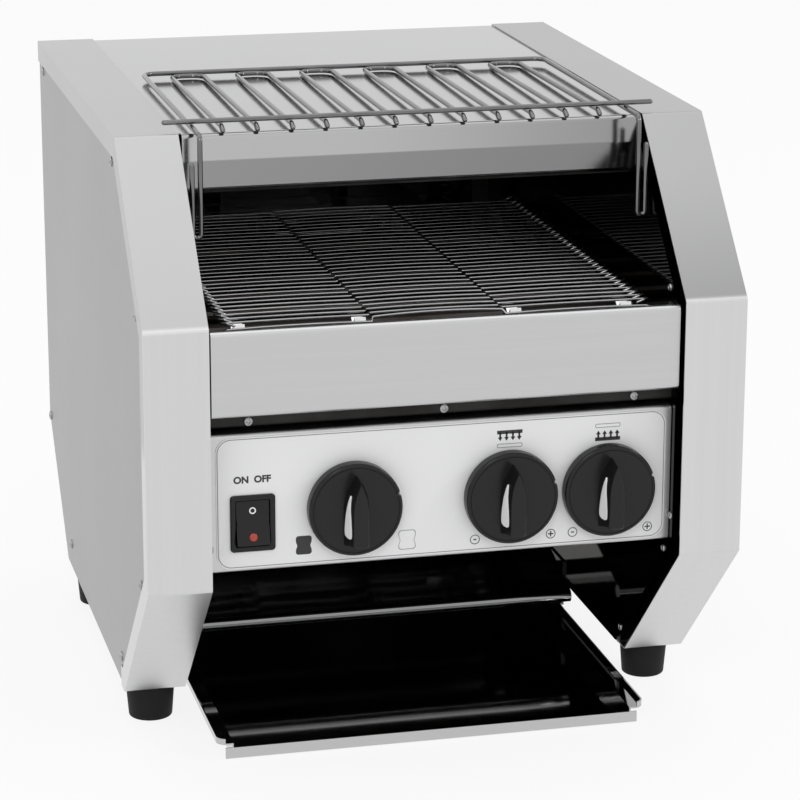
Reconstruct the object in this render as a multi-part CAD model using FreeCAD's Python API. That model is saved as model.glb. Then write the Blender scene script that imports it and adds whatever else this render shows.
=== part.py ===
import FreeCAD, Part
import math
import os

from FreeCAD import Vector

# Conveyor toaster for two slices side by side, in millimetres.
# +Z is up, the bread enters at the front, towards -Y, and X runs across the belt.
# The origin is on the table, under the middle of the machine.

# Body
width = 370.0
body_depth = 447.0
body_height = 358.5
foot_height = 24.0
cheek_width = 39.0
slope_run = 94.0
slope_over_fascia = 3.0
lower_slope_run = 104.0
lower_slope_rise = 100.0
rear_chamfer_run = 82.0
rear_chamfer_rise = 86.0
sheet = 1.0
wall_sheet = 1.2
bend = 2.0
fit_gap = 0.2
seat_gap = 0.3
cover_flange = 14.0
bottom_return = 12.0
rear_flange = 18.0
wall_flange = 13.0
wall_recess = 11.0
side_screw_radius = 3.5
side_screw_inset = 18.5
rear_screw_inset = 7.0
slope_screw_back = 30.5
slope_screw_inset = 19.6
slope_screw_rise = 3.5
screw_radius = 3.0
wall_screw_radius = 2.5
wall_screw_inset = 14.5
wall_screw_rise = 21.5
screw_height = 1.6
screw_sides = 8

# Feet
foot_top_radius = 15.75
foot_bottom_radius = 14.0
foot_from_side = 19.5
front_foot_back = 124.0
rear_foot_inset = 102.0
foot_stud_radius = 4.0
foot_stud_length = 8.0
foot_sides = 32
stud_sides = 12

# Top cover and its front apron
cover_drop = 1.0
cover_front_back = 96.0
apron_side_gap = 2.5
apron_upright = 17.0
apron_slant = 19.0
apron_lean = 3.0
apron_hem = 6.0
apron_corner = 6.0
cover_side_flange = 12.0

# Front fascia below the mouth
fascia_setback = 5.0
fascia_over_panel = 13.0
fascia_height = 52.5
fascia_top_return = 5.0
fascia_bottom_return = 12.0
fascia_side_return = 20.0

# Control panel
panel_setback = 16.5
panel_bottom = 105.0
panel_height = 87.0
panel_return = 16.0
panel_side_gap = 0.3
label_side_gap = 3.5
label_height = 82.0
label_corner = 9.0
label_thickness = 0.5

# Knobs, from left to right: belt speed, upper heat and lower heat
speed_knob_inset = 87.3
heat_knob_inset = 40.8
heat_knob_step = 62.2
knob_above_edge = 37.0
knob_sides = 40
knob_radius = 29.0
knob_height = 22.0
knob_gap = 1.0
skirt_height = 8.0
skirt_rim = 2.0
grip_base_width = 17.0
grip_top_width = 9.0
grip_base_length = 45.0
grip_top_length = 39.0
grip_point_share = 0.55
grip_steps = 4
spindle_radius = 3.0
spindle_hole_radius = 4.0
hole_sides = 12
spindle_in_knob = 10.0
spindle_in_regulator = 16.0
shaft_clearance = 0.05
regulator_width = 34.0
regulator_depth = 36.0

# Mains rocker switch
switch_inset = 25.5
switch_above_edge = 31.0
switch_frame_width = 27.5
switch_frame_height = 35.5
switch_frame_rim = 3.4
switch_frame_proud = 1.6
switch_body_depth = 22.0
rocker_gap = 0.35
rocker_depth = 9.0
rocker_tilt = 9.0
rocker_proud = 1.6
rocker_corner_drop = 1.9

# Heat shield box behind the control panel
shield_setback = 18.0
shield_lip_gap = 0.5
shield_over_panel = 3.0
shield_back = 110.0
shield_floor_rise = 2.0
shield_front = 24.0
shield_screw_inset = 24.4
shield_screw_drop = 5.5

# Belt and its toothed wheels
wire = 1.6
teeth = 16
belt_pitch_radius = 24.2
rear_axis_room = 122.0
belt_side_gap = 11.2
belt_loop_share = 0.55
belt_loop_reach = 3.0
belt_hook_reach = 8.0
belt_joint_place = 40.4
belt_joint_width = 1.4
front_axis_back = 39.0
axis_over_fascia = 25.0
left_wheel_inset = 12.2
right_wheel_inset = 13.2
inner_wheels = [-47.0, 50.0]
wheel_width = 7.0
tooth_height = 3.4
tooth_root_angle = 6.5
hub_sides = 10
shaft_radius = 5.0
bearing_reach = 4.4
drive_shaft_reach = 17.4
bearing_block = 16.0
bearing_face = 22.0
bearing_flange = 2.0
collar_gap = 6.5
collar_radius = 9.0
collar_width = 6.0

# Gearmotor beside the right inner wall
gearbox_width = 22.0
gearbox_depth = 64.0
gearbox_height = 84.0
gearbox_drop = 22.0
motor_radius = 30.0
motor_sides = 24
motor_width = 13.0
bearing_pocket_gap = 1.0

# Heaters
heater_step = 40.0
heater_rear_room = 50.0
heater_radius = 5.0
heater_sides = 12
upper_heater_first = 130.0
upper_heater_drop = 32.5
lower_heater_first = 110.0
lower_heater_rise = 23.4
holder_width = 6.0
holder_height = 13.0
holder_overhang = 12.0
reflector_rise = 12.0
reflector_margin = 18.0
upper_reflector_lip = 20.0
lower_reflector_drop = 15.0
lower_reflector_lip = 6.0

# Toast chute under the belt
chute_side_gap = 16.9
chute_sheet = 1.2
chute_nose_back = 168.0
chute_nose_height = 17.0
chute_nose_radius = 4.5
chute_angle = 16.0
chute_rear_gap = 17.0
chute_top_gap = 22.5
chute_bend = 60.0
chute_bracket_back = 300.0
chute_bracket_length = 40.0
chute_bracket_rise = 30.0

# Collection tray
tray_front_back = 36.0
tray_length = 294.0
tray_clear = 1.0
tray_side_gap = 6.4
tray_ledge_width = 10.0
tray_ledge_height = 10.0
tray_rim_height = 13.0
tray_lip_height = 7.0
tray_lip_inset = 5.0
tray_corner = 7.0
runner_back = 236.0
runner_length = 94.0
runner_rise = 16.0
runner_tray_gap = 2.0

# Wire rack on the top cover
rack_wire_radius = 1.6
rack_wire_sides = 8
rack_side_gap = 9.0
rack_lift = 3.9
rack_back = 284.0
rack_leg_back = 72.0
rack_leg_length = 62.0
rack_leg_return = 44.0
rack_leg_spread = 5.0
rack_corner = 8.0
rack_leg_bend = 4.0
rack_rail_overhang = 9.0
rack_rail_back = 101.0
rack_tip_back = 98.0
rack_edge_room = 5.0
rack_spacing = 21.6
weld_gap = 0.05

# Cable gland in the rear chamfer
gland_inset = 24.4
gland_nut_radius = 13.0
gland_nut_height = 6.0
gland_body_radius = 10.0
gland_body_height = 12.0
gland_hole_radius = 4.5
gland_neck_radius = 8.0
gland_sides = 18

# Ventilation slots in the rear panel
slot_length = 50.0
slot_height = 4.0
slot_columns = 2
slot_rows = 6
slot_column_step = 150.0
slot_row_step = 14.0
slot_drop = 58.5

# Places worked out from the sizes above
knob_front = knob_gap + knob_height + label_thickness - panel_setback
front = -(body_depth + knob_front) / 2 + knob_front
rear = front + body_depth
base = foot_height
top = base + body_height
half = width / 2
seam = half - cheek_width
wall_inner = seam - fit_gap * 2 - wall_sheet
wall_outer = wall_inner + wall_sheet
fitted = wall_inner - fit_gap
side_outer = half - sheet
cover_top = top - cover_drop
apron_half = seam - apron_side_gap
fascia_bottom = panel_bottom + panel_height + fascia_over_panel
slope_drop = body_height - fascia_bottom - fascia_height - slope_over_fascia
panel_edge = fitted - panel_side_gap
label_half = panel_edge - label_side_gap
knob_z = base + panel_bottom + knob_above_edge
lower_heat_x = panel_edge - heat_knob_inset
knob_places = {
    "speed": speed_knob_inset - panel_edge,
    "upper_heat": lower_heat_x - heat_knob_step,
    "lower_heat": lower_heat_x,
}
switch_x = switch_inset - panel_edge
switch_z = base + panel_bottom + switch_above_edge
shield_lip_top = base + fascia_bottom - shield_lip_gap
pitch = 2 * math.pi * belt_pitch_radius / teeth
run_pitches = int((body_depth - front_axis_back - rear_axis_room) / pitch)
axis_z = base + fascia_bottom + axis_over_fascia
front_axis_y = front + front_axis_back
rear_axis_y = front_axis_y + run_pitches * pitch
belt_half = wall_inner - belt_side_gap
right_wheel_x = belt_half - right_wheel_inset
wheel_places = [left_wheel_inset - belt_half] + inner_wheels + [right_wheel_x]
collar_x = right_wheel_x - (wheel_width + collar_width) / 2 - collar_gap
shaft_end = wall_outer + bearing_reach
drive_shaft_end = wall_outer + drive_shaft_reach
heater_room = front_axis_back + run_pitches * pitch - lower_heater_first - heater_rear_room
heater_count = 1 + int(heater_room / heater_step)
upper_heater_z = top - upper_heater_drop
lower_heater_z = axis_z - belt_pitch_radius + wire / 2 + lower_heater_rise
chute_half = wall_inner - chute_side_gap
tray_half = wall_inner - tray_side_gap
tray_floor_half = tray_half - tray_ledge_width
tray_lip_half = tray_half - tray_lip_inset
rack_half = seam - rack_side_gap
rack_hairpins = int((rack_half - rack_edge_room) / rack_spacing)
gland_x = gland_inset - wall_inner
wheel_tip_radius = belt_pitch_radius - wire / 2 - seat_gap
root_radius = wheel_tip_radius - tooth_height
hub_bore_radius = shaft_radius / math.cos(math.pi / hub_sides)

ALONG_X = Vector(1, 0, 0)
ALONG_Y = Vector(0, 1, 0)
UP = Vector(0, 0, 1)


def box(x0, x1, y0, y1, z0, z1):
    return Part.makeBox(x1 - x0, y1 - y0, z1 - z0, Vector(x0, y0, z0))


def cylinder(start, direction, radius, length):
    return Part.makeCylinder(radius, length, start, direction)


def polygon(centre, direction, radius, sides):
    """Corners of a regular polygon round a centre, closed."""
    across = UP.cross(direction) if abs(direction.z) < 0.9 else ALONG_X
    across = across.normalize() * radius
    corners = []
    for corner in range(sides + 1):
        turn = FreeCAD.Rotation(direction, 360 * (corner + 0.5) / sides)
        corners.append(centre + turn.multVec(across))
    corners[-1] = corners[0]
    return corners


def prism(start, direction, radius, length, sides):
    """Rod with flat sides, for small round things seen in numbers; the radius is at its corners."""
    outline = Part.makePolygon(polygon(start, direction, radius, sides))
    return Part.Face(outline).extrude(direction * length)


def frustum(start, direction, radius, end_radius, length, sides):
    """Tapered rod with flat sides."""
    first_ring = polygon(start, direction, radius, sides)
    last_ring = polygon(start + direction * length, direction, end_radius, sides)
    return skinned(first_ring, last_ring)


def skinned(ring_a, ring_b):
    """Solid between two closed rings of corners, with its sides split into flat triangles."""
    faces = [Part.Face(Part.makePolygon(ring)) for ring in (ring_a, ring_b)]
    for a0, a1, b0, b1 in zip(ring_a, ring_a[1:], ring_b, ring_b[1:]):
        faces.append(Part.Face(Part.makePolygon([a0, a1, b1, a0])))
        faces.append(Part.Face(Part.makePolygon([a0, b1, b0, a0])))
    solid = Part.Solid(Part.Shell(faces))
    return solid if solid.Volume > 0 else solid.reversed()


def section(points):
    """Points of a section across X, from pairs of Y and Z."""
    return [Vector(0, y, z) for y, z in points]


def rounded_path(points, radii):
    """Edges through the points, with a tangent arc of the given radius at each corner."""
    edges = []
    start = points[0]
    for previous, corner, following, radius in zip(points, points[1:], points[2:], radii):
        back = (previous - corner).normalize()
        ahead = (following - corner).normalize()
        half_angle = math.acos(max(-1.0, min(1.0, back.dot(ahead)))) / 2
        if radius < 0.05:
            edges.append(Part.makeLine(start, corner))
            start = corner
            continue
        cut = radius / math.tan(half_angle)
        middle = (back + ahead).normalize()
        arc_start = corner + back * cut
        arc_end = corner + ahead * cut
        crown = corner + middle * (radius / math.sin(half_angle) - radius)
        edges.append(Part.makeLine(start, arc_start))
        edges.append(Part.Arc(arc_start, crown, arc_end).toShape())
        start = arc_end
    edges.append(Part.makeLine(start, points[-1]))
    return edges


def turn_sides(points):
    """+1 for each inner corner that turns left in the YZ plane, -1 for right."""
    sides = []
    for a, b, c in zip(points, points[1:], points[2:]):
        cross = (b.y - a.y) * (c.z - b.z) - (b.z - a.z) * (c.y - b.y)
        sides.append(1 if cross > 0 else -1)
    return sides


def offset_path(points, distance):
    """The same open path moved to its left by the distance, in the YZ plane."""
    normals = []
    for a, b in zip(points, points[1:]):
        along = (b - a).normalize()
        normals.append(Vector(0, -along.z, along.y))
    moved = [points[0] + normals[0] * distance]
    for corner, n0, n1 in zip(points[1:-1], normals, normals[1:]):
        moved.append(corner + (n0 + n1) * (distance / (1 + n0.dot(n1))))
    moved.append(points[-1] + normals[-1] * distance)
    return moved


def strip(points, thickness, x0, x1, bends=None, depth=None):
    """Sheet bent along a path, on its left, between two stations across X."""
    sides = turn_sides(points)
    if bends is None:
        bends = [bend] * len(sides)
    depth = thickness if depth is None else depth
    near = [r + thickness if s > 0 else r for s, r in zip(sides, bends)]
    far = [max(r - depth, 0.0) if s > 0 else r + depth for s, r in zip(sides, near)]
    outline = rounded_path(points, near)
    inner = offset_path(points, depth)
    outline.append(Part.makeLine(points[-1], inner[-1]))
    outline += rounded_path(inner[::-1], far[::-1])
    outline.append(Part.makeLine(inner[0], points[0]))
    face = Part.Face(Part.Wire(Part.__sortEdges__(outline)))
    face.translate(Vector(x0, 0, 0))
    return face.extrude(Vector(x1 - x0, 0, 0))


def mirrored(shape):
    return shape.mirror(Vector(0, 0, 0), ALONG_X)


def group(solids):
    return Part.makeCompound(solids)


def fused(first, *others):
    return first.fuse(list(others)).removeSplitter()


def save(node, shape):
    shape.exportStep("parts/" + node + ".step")


def body_points():
    """Side outline of the body from the rear top corner forwards, down and back."""
    return section([
        (rear, top),
        (front + slope_run, top),
        (front, top - slope_drop),
        (front, base + lower_slope_rise),
        (front + lower_slope_run, base),
        (rear - rear_chamfer_run, base),
        (rear, base + rear_chamfer_rise),
    ])


def cheek_cover():
    """Strip wrapped round the side box, with a flange over the side panel."""
    path = body_points()[:5]
    path.append(path[4] + ALONG_Y * bottom_return)
    web = strip(path, sheet, seam, half)
    flange = strip(path, sheet, side_outer, half, depth=cover_flange)
    return fused(web, flange)


def at_height(a, b, z):
    """The point at a height on the line through two points."""
    return a + (b - a) * ((z - a.z) / (b.z - a.z))


def side_panel():
    """Flat panel under the cover's flange, flush with the rear panel."""
    outline = body_points()
    covered = offset_path(outline[:6], sheet + fit_gap)
    points = [Vector(0, rear, covered[0].z)] + covered[1:5]
    points += [at_height(outline[5], outline[6], covered[4].z), outline[6]]
    points.append(points[0])
    plate = Part.Face(Part.makePolygon(points))
    plate.translate(Vector(side_outer - sheet, 0, 0))
    return plate.extrude(Vector(sheet, 0, 0))


def inner_wall():
    """Wall beside the belt, set back from the cheek's face, with a flange along its top."""
    corners = body_points()
    recessed = offset_path(corners[:5], wall_recess)
    inset = offset_path(corners[4:] + corners[:1], sheet + fit_gap)
    wall_top = cover_top - sheet - fit_gap
    rear_y = inset[3].y
    slope_top = at_height(recessed[1], recessed[2], wall_top)
    outline = [
        Vector(0, rear_y, wall_top),
        slope_top,
        recessed[2],
        recessed[3],
        at_height(recessed[3], recessed[4], inset[1].z),
        inset[1],
        inset[2],
        Vector(0, rear_y, wall_top),
    ]
    flange = box(wall_inner, wall_inner + wall_flange, slope_top.y, rear_y, wall_top - wall_sheet, wall_top)
    plate = Part.Face(Part.makePolygon(outline))
    plate.translate(Vector(wall_inner, 0, 0))
    wall = fused(plate.extrude(Vector(wall_sheet, 0, 0)), flange)
    for axis_y in (front_axis_y, rear_axis_y):
        wall = wall.cut(square_bar(axis_y, wall_inner - 1, wall_outer + 1, bearing_block))
    return wall


def square_bar(axis_y, x0, x1, size):
    """Square bar along a shaft's axis."""
    reach = size / 2
    return box(x0, x1, axis_y - reach, axis_y + reach, axis_z - reach, axis_z + reach)


def top_cover():
    """Cover between the cheeks, with a folded apron over the mouth."""
    front_edge = front + cover_front_back
    lean_start = cover_top - apron_upright
    hem_z = lean_start - apron_slant
    deck_end = front_edge + apron_corner
    deck_path = section([(rear - sheet - fit_gap, cover_top), (deck_end, cover_top)])
    deck = strip(deck_path, sheet, -seam + fit_gap, seam - fit_gap)
    apron_path = section([
        (deck_end, cover_top),
        (front_edge, cover_top),
        (front_edge, lean_start),
        (front_edge + apron_lean, hem_z),
        (front_edge + apron_lean + apron_hem, hem_z),
    ])
    apron = strip(apron_path, sheet, -apron_half, apron_half)
    for side in (-1, 1):
        corner = apron_half - apron_corner
        block = box(corner, apron_half + 1, front_edge - 2, front_edge + 12, hem_z - 1, hem_z + apron_corner)
        centre = Vector(corner, front_edge - 2, hem_z + apron_corner)
        block = block.cut(cylinder(centre, ALONG_Y, apron_corner, 14))
        apron = apron.cut(block if side > 0 else mirrored(block))
    flange = box(
        fitted - sheet, fitted, front_edge + bottom_return, rear - sheet - fit_gap,
        cover_top - cover_side_flange, cover_top,
    )
    return fused(deck, apron, flange, mirrored(flange))


def rear_panel():
    """Rear sheet down to the chamfer, with side flanges and ventilation slots."""
    edge = side_outer - sheet - fit_gap
    path = section([
        (rear - rear_chamfer_run - bottom_return, base),
        (rear - rear_chamfer_run, base),
        (rear, base + rear_chamfer_rise),
        (rear, cover_top - sheet - fit_gap),
    ])
    panel = strip(path, sheet, -edge, edge)
    flange = strip(path, sheet, edge - sheet, edge, depth=rear_flange)
    panel = fused(panel, flange, mirrored(flange))
    slots = []
    for column in range(slot_columns):
        x = (column - (slot_columns - 1) / 2) * slot_column_step
        for row in range(slot_rows):
            z = top - slot_drop - row * slot_row_step
            start = x - slot_length / 2
            end = x + slot_length / 2
            slots.append(box(start, end, rear - 3, rear + 3, z - slot_height / 2, z + slot_height / 2))
    gland_hole = prism(*gland_axis(-3.0), gland_neck_radius, 6, gland_sides)
    return panel.cut(slots + [gland_hole])


def gland_axis(lift):
    """A point on the gland's axis, lifted off the chamfer, and the axis direction."""
    y = rear - rear_chamfer_run / 2
    z = base + rear_chamfer_rise / 2
    outward = Vector(0, rear_chamfer_rise, -rear_chamfer_run).normalize()
    return Vector(gland_x, y, z) + outward * lift, outward


def cable_gland():
    """Empty gland: a hexagon nut, a round body and its through hole."""
    start, outward = gland_axis(0)
    nut = prism(start, outward, gland_nut_radius, gland_nut_height, 6)
    body = prism(start, outward, gland_body_radius, gland_nut_height + gland_body_height, gland_sides)
    neck_start, _ = gland_axis(-sheet - 5)
    neck = prism(neck_start, outward, gland_neck_radius - fit_gap, sheet + 6, gland_sides)
    hole_start, _ = gland_axis(-10)
    hole = prism(hole_start, outward, gland_hole_radius, 40, gland_sides)
    return fused(nut, body, neck).cut(hole)


def base_channel():
    """Channel that closes the side box at the bottom and carries the feet."""
    inner = wall_outer + fit_gap
    outer = side_outer - sheet - fit_gap
    start = front + lower_slope_run + bottom_return + fit_gap
    end = rear - rear_chamfer_run - bottom_return - fit_gap
    floor = box(inner, outer, start, end, base, base + wall_sheet)
    inner_lip = box(inner, inner + wall_sheet, start, end, base, base + cover_flange)
    outer_lip = box(outer - wall_sheet, outer, start, end, base, base + cover_flange)
    channel = fused(floor, inner_lip, outer_lip)
    for back in (front_foot_back, body_depth - rear_foot_inset):
        hole_start = Vector(half - foot_from_side, front + back, base - 1)
        channel = channel.cut(prism(hole_start, UP, foot_stud_radius + fit_gap, 4, stud_sides))
    return channel


def feet():
    """Four tapered rubber feet with their studs."""
    solids = []
    for side in (-1, 1):
        for back in (front_foot_back, body_depth - rear_foot_inset):
            place = Vector(side * (half - foot_from_side), front + back, 0)
            cone = frustum(place, UP, foot_bottom_radius, foot_top_radius, foot_height, foot_sides)
            stud = prism(place + UP * foot_height, UP, foot_stud_radius, foot_stud_length, stud_sides)
            solids.append(fused(cone, stud))
    return group(solids)


def front_fascia():
    """Plain folded front below the mouth."""
    y = front + fascia_setback
    z0 = base + fascia_bottom
    z1 = z0 + fascia_height
    path = section([
        (y + fascia_top_return, z1),
        (y, z1),
        (y, z0),
        (y + fascia_bottom_return, z0),
    ])
    face = strip(path, sheet, -fitted, fitted)
    side = box(fitted - sheet, fitted, y + sheet / 2, y + fascia_side_return, z0 + bend, z1 - bend)
    return fused(face, side, mirrored(side))


def control_panel():
    """Folded panel with holes for the spindles and the switch."""
    y = front + panel_setback
    z0 = base + panel_bottom
    z1 = z0 + panel_height
    path = section([
        (y + panel_return, z1),
        (y, z1),
        (y, z0),
        (y + panel_return, z0),
    ])
    face = strip(path, sheet, -panel_edge, panel_edge)
    side = box(panel_edge - sheet, panel_edge, y + sheet / 2, y + panel_return, z0 + bend, z1 - bend)
    return fused(face, side, mirrored(side)).cut(panel_holes())


def panel_holes():
    """Cutters for the spindles and the switch body, through panel and label."""
    cutters = []
    for x in knob_places.values():
        start = Vector(x, front, knob_z)
        cutters.append(prism(start, ALONG_Y, spindle_hole_radius, panel_setback + 10, hole_sides))
    half_w = switch_frame_width / 2 - switch_frame_rim / 2
    half_h = switch_frame_height / 2 - switch_frame_rim / 2
    z = switch_z
    y1 = front + panel_setback + 10
    cutters.append(box(switch_x - half_w, switch_x + half_w, front, y1, z - half_h, z + half_h))
    return cutters


def panel_label():
    """Thin label on the control panel, with rounded corners."""
    y1 = front + panel_setback
    y0 = y1 - label_thickness
    z = base + panel_bottom + panel_height / 2
    w = label_half
    h = label_height / 2
    corners = [(0, -h), (w, -h), (w, h), (-w, h), (-w, -h), (0, -h)]
    points = [Vector(x, y0, z + dz) for x, dz in corners]
    edges = rounded_path(points, [label_corner] * 4)
    face = Part.Face(Part.Wire(edges))
    return face.extrude(Vector(0, label_thickness, 0)).cut(panel_holes())


def switch_frame():
    """Rocker switch housing: a rim on the label and a hollow body behind it."""
    y0 = front + panel_setback - label_thickness - switch_frame_proud
    y_label = front + panel_setback - label_thickness
    y_end = y_label + switch_body_depth
    z = switch_z
    w = switch_frame_width / 2
    h = switch_frame_height / 2
    rim = box(switch_x - w, switch_x + w, y0, y_label, z - h, z + h)
    inset = switch_frame_rim / 2 + fit_gap
    body = box(switch_x - w + inset, switch_x + w - inset, y_label, y_end, z - h + inset, z + h - inset)
    hollow_w = w - switch_frame_rim
    hollow_h = h - switch_frame_rim
    hollow = box(
        switch_x - hollow_w, switch_x + hollow_w, y0 - 1, y_end - 3, z - hollow_h, z + hollow_h,
    )
    return fused(rim, body).cut(hollow)


def switch_rocker():
    """Rocker with a shallow V front, stored in its off position."""
    reach = switch_frame_height / 2 - switch_frame_rim - rocker_gap
    half_w = switch_frame_width / 2 - switch_frame_rim - rocker_gap
    y_pivot = front + panel_setback - label_thickness
    end_y = -math.tan(math.radians(rocker_tilt)) * reach
    end_z = math.sqrt(reach ** 2 - end_y ** 2)
    back_z = math.sqrt(reach ** 2 - rocker_corner_drop ** 2)
    top_front = Vector(0, end_y, end_z)
    low_front = Vector(0, end_y, -end_z)
    top_back = Vector(0, rocker_corner_drop, back_z)
    low_back = Vector(0, rocker_corner_drop, -back_z)
    heel = rocker_depth
    edges = [
        Part.makeLine(Vector(0, -rocker_proud, 0), top_front),
        Part.Arc(top_front, Vector(0, 0, reach), top_back).toShape(),
        Part.makeLine(top_back, Vector(0, heel, heel / 2)),
        Part.makeLine(Vector(0, heel, heel / 2), Vector(0, heel, -heel / 2)),
        Part.makeLine(Vector(0, heel, -heel / 2), low_back),
        Part.Arc(low_back, Vector(0, 0, -reach), low_front).toShape(),
        Part.makeLine(low_front, Vector(0, -rocker_proud, 0)),
    ]
    rocker = Part.Face(Part.Wire(edges)).extrude(Vector(2 * half_w, 0, 0))
    rocker.rotate(Vector(0, 0, 0), ALONG_X, -rocker_tilt)
    rocker.translate(Vector(switch_x - half_w, y_pivot, switch_z))
    return rocker


def knob_base(x):
    """Point on the knob's axis where its skirt starts, nearest the label."""
    y = front + panel_setback - label_thickness - knob_gap
    return Vector(x, y, knob_z)


def ogive(width_across, length, y):
    """Outline of the grip: flat at the bottom, pointed like an arch at the top."""
    w = width_across / 2
    low = -length / 2
    tip = length / 2
    rise = length * grip_point_share
    radius = (rise ** 2 + w ** 2) / (2 * w)
    sweep = math.asin(rise / radius)
    right = []
    for step in range(grip_steps):
        angle = sweep * step / grip_steps
        right.append((w - radius + radius * math.cos(angle), tip - rise + radius * math.sin(angle)))
    left = [(-x, z) for x, z in right[::-1]]
    corners = [(-w, low), (w, low)] + right + [(0.0, tip)] + left + [(-w, low)]
    return [Vector(x, y, z) for x, z in corners]


def knob(x):
    """Round skirt with a raised, tapered grip that points up."""
    outward = ALONG_Y * -1
    rim_start = outward * (skirt_height - skirt_rim)
    skirt = prism(Vector(0, 0, 0), outward, knob_radius, skirt_height - skirt_rim, knob_sides)
    rim = frustum(rim_start, outward, knob_radius, knob_radius - skirt_rim, skirt_rim, knob_sides)
    grip_foot = ogive(grip_base_width, grip_base_length, -skirt_height + 1)
    grip_head = ogive(grip_top_width, grip_top_length, -knob_height)
    grip = skinned(grip_foot, grip_head)
    bore = cylinder(Vector(0, -spindle_in_knob, 0), ALONG_Y, spindle_radius, spindle_in_knob + 1)
    shape = fused(skirt, rim, grip).cut(bore)
    shape.translate(knob_base(x))
    return shape


def spindle(x):
    """Spindle between a knob and the regulator behind the panel."""
    start = knob_base(x) - ALONG_Y * spindle_in_knob
    panel_back = front + panel_setback + sheet
    end_y = panel_back + spindle_in_regulator
    return cylinder(start, ALONG_Y, spindle_radius, end_y - start.y)


def regulators():
    """Three regulator boxes behind the panel, each with a blind spindle bore."""
    solids = []
    y0 = front + panel_setback + sheet
    w = regulator_width / 2
    for x in knob_places.values():
        body = box(x - w, x + w, y0, y0 + regulator_depth, knob_z - w, knob_z + w)
        bore = cylinder(
            Vector(x, y0 - 1, knob_z), ALONG_Y, spindle_radius + shaft_clearance, spindle_in_regulator + 2,
        )
        solids.append(body.cut(bore))
    return group(solids)


def heat_shield():
    """Box sheet over, behind and under the regulators, with a lip below the fascia."""
    roof = base + panel_bottom + panel_height + shield_over_panel
    floor = base + panel_bottom + shield_floor_rise
    path = section([
        (front + shield_setback, shield_lip_top),
        (front + shield_setback, roof),
        (front + shield_back, roof),
        (front + shield_back, floor),
        (front + shield_front, floor),
    ])
    return strip(path, sheet, -fitted, fitted)


def belt_strand():
    """One wire of the belt, flat in the XY plane, with its joints and edge loops."""
    step = pitch / 2
    hook = pitch - wire - seat_gap
    half_points = [
        Vector(belt_joint_place, step, 0),
        Vector(belt_joint_place + belt_joint_width, 0, 0),
        Vector(belt_half - belt_loop_reach, 0, 0),
        Vector(belt_half, -belt_loop_share * pitch, 0),
        Vector(belt_half - belt_hook_reach, -hook, 0),
    ]
    left_points = [Vector(-p.x, p.y, 0) for p in half_points]
    points = left_points[::-1] + half_points
    sides = [flat_offset(points, wire / 2), flat_offset(points, -wire / 2)]
    outline = sides[0] + sides[1][::-1]
    outline.append(outline[0])
    face = Part.Face(Part.makePolygon(outline))
    face.translate(Vector(0, 0, -wire / 2))
    return face.extrude(Vector(0, 0, wire))


def flat_offset(points, distance):
    """The open path moved to its left in the XY plane."""
    turned = [Vector(0, p.x, p.y) for p in points]
    return [Vector(p.y, p.z, 0) for p in offset_path(turned, distance)]


def wire_belt():
    """Endless belt of wires hooked together at their edges, round the two shafts."""
    strand = belt_strand()
    strand.translate(Vector(0, 0, belt_pitch_radius))
    step_angle = 360 / teeth
    half_turn = teeth // 2
    strands = []
    for turn, y_start in ((0, front_axis_y), (180, rear_axis_y)):
        direction = 1 if turn == 0 else -1
        for place in range(run_pitches):
            copy = strand.copy()
            copy.rotate(Vector(0, 0, 0), ALONG_X, -turn)
            copy.translate(Vector(0, y_start + direction * place * pitch, axis_z))
            strands.append(copy)
    for turn, y_axis in ((0, rear_axis_y), (180, front_axis_y)):
        for place in range(half_turn):
            copy = strand.copy()
            copy.rotate(Vector(0, 0, 0), ALONG_X, -turn - place * step_angle)
            copy.translate(Vector(0, y_axis, axis_z))
            strands.append(copy)
    return group(strands)


def toothed_wheel():
    """Wheel whose short teeth end just under the belt's wires, one under each."""
    points = []
    for tooth in range(teeth):
        centre = 360 / teeth * tooth
        for radius, swing in (
            (root_radius, -tooth_root_angle),
            (wheel_tip_radius, 0.0),
            (root_radius, tooth_root_angle),
        ):
            angle = math.radians(centre + swing)
            points.append(Vector(0, radius * math.sin(angle), radius * math.cos(angle)))
    points.append(points[0])
    wheel = Part.Face(Part.makePolygon(points)).extrude(Vector(wheel_width, 0, 0))
    return wheel.cut(prism(Vector(-1, 0, 0), ALONG_X, hub_bore_radius, wheel_width + 2, hub_sides))


def wheels(axis_y):
    """The toothed wheels of one shaft, at their places across the belt."""
    solids = []
    for x in wheel_places:
        wheel = toothed_wheel()
        wheel.translate(Vector(x - wheel_width / 2, axis_y, axis_z))
        solids.append(wheel)
    collar_start = Vector(collar_x - collar_width / 2, axis_y, axis_z)
    collar = prism(collar_start, ALONG_X, collar_radius, collar_width, hub_sides)
    bore_start = Vector(collar_x - collar_width, axis_y, axis_z)
    bore = prism(bore_start, ALONG_X, hub_bore_radius, 2 * collar_width, hub_sides)
    solids.append(collar.cut(bore))
    return group(solids)


def shaft(axis_y, right_end):
    return cylinder(Vector(-shaft_end, axis_y, axis_z), ALONG_X, shaft_radius, shaft_end + right_end)


def shaft_bearings():
    """Square bearing blocks in the inner walls, each with a wider face, two for each shaft."""
    solids = []
    for axis_y in (front_axis_y, rear_axis_y):
        face_x = wall_inner - bearing_flange
        block = fused(
            square_bar(axis_y, face_x, shaft_end, bearing_block),
            square_bar(axis_y, face_x, wall_inner, bearing_face),
        )
        start = Vector(face_x - 1, axis_y, axis_z)
        bore = cylinder(start, ALONG_X, shaft_radius + shaft_clearance, shaft_end - face_x + 2)
        block = block.cut(bore)
        solids += [block, mirrored(block)]
    return group(solids)


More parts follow.
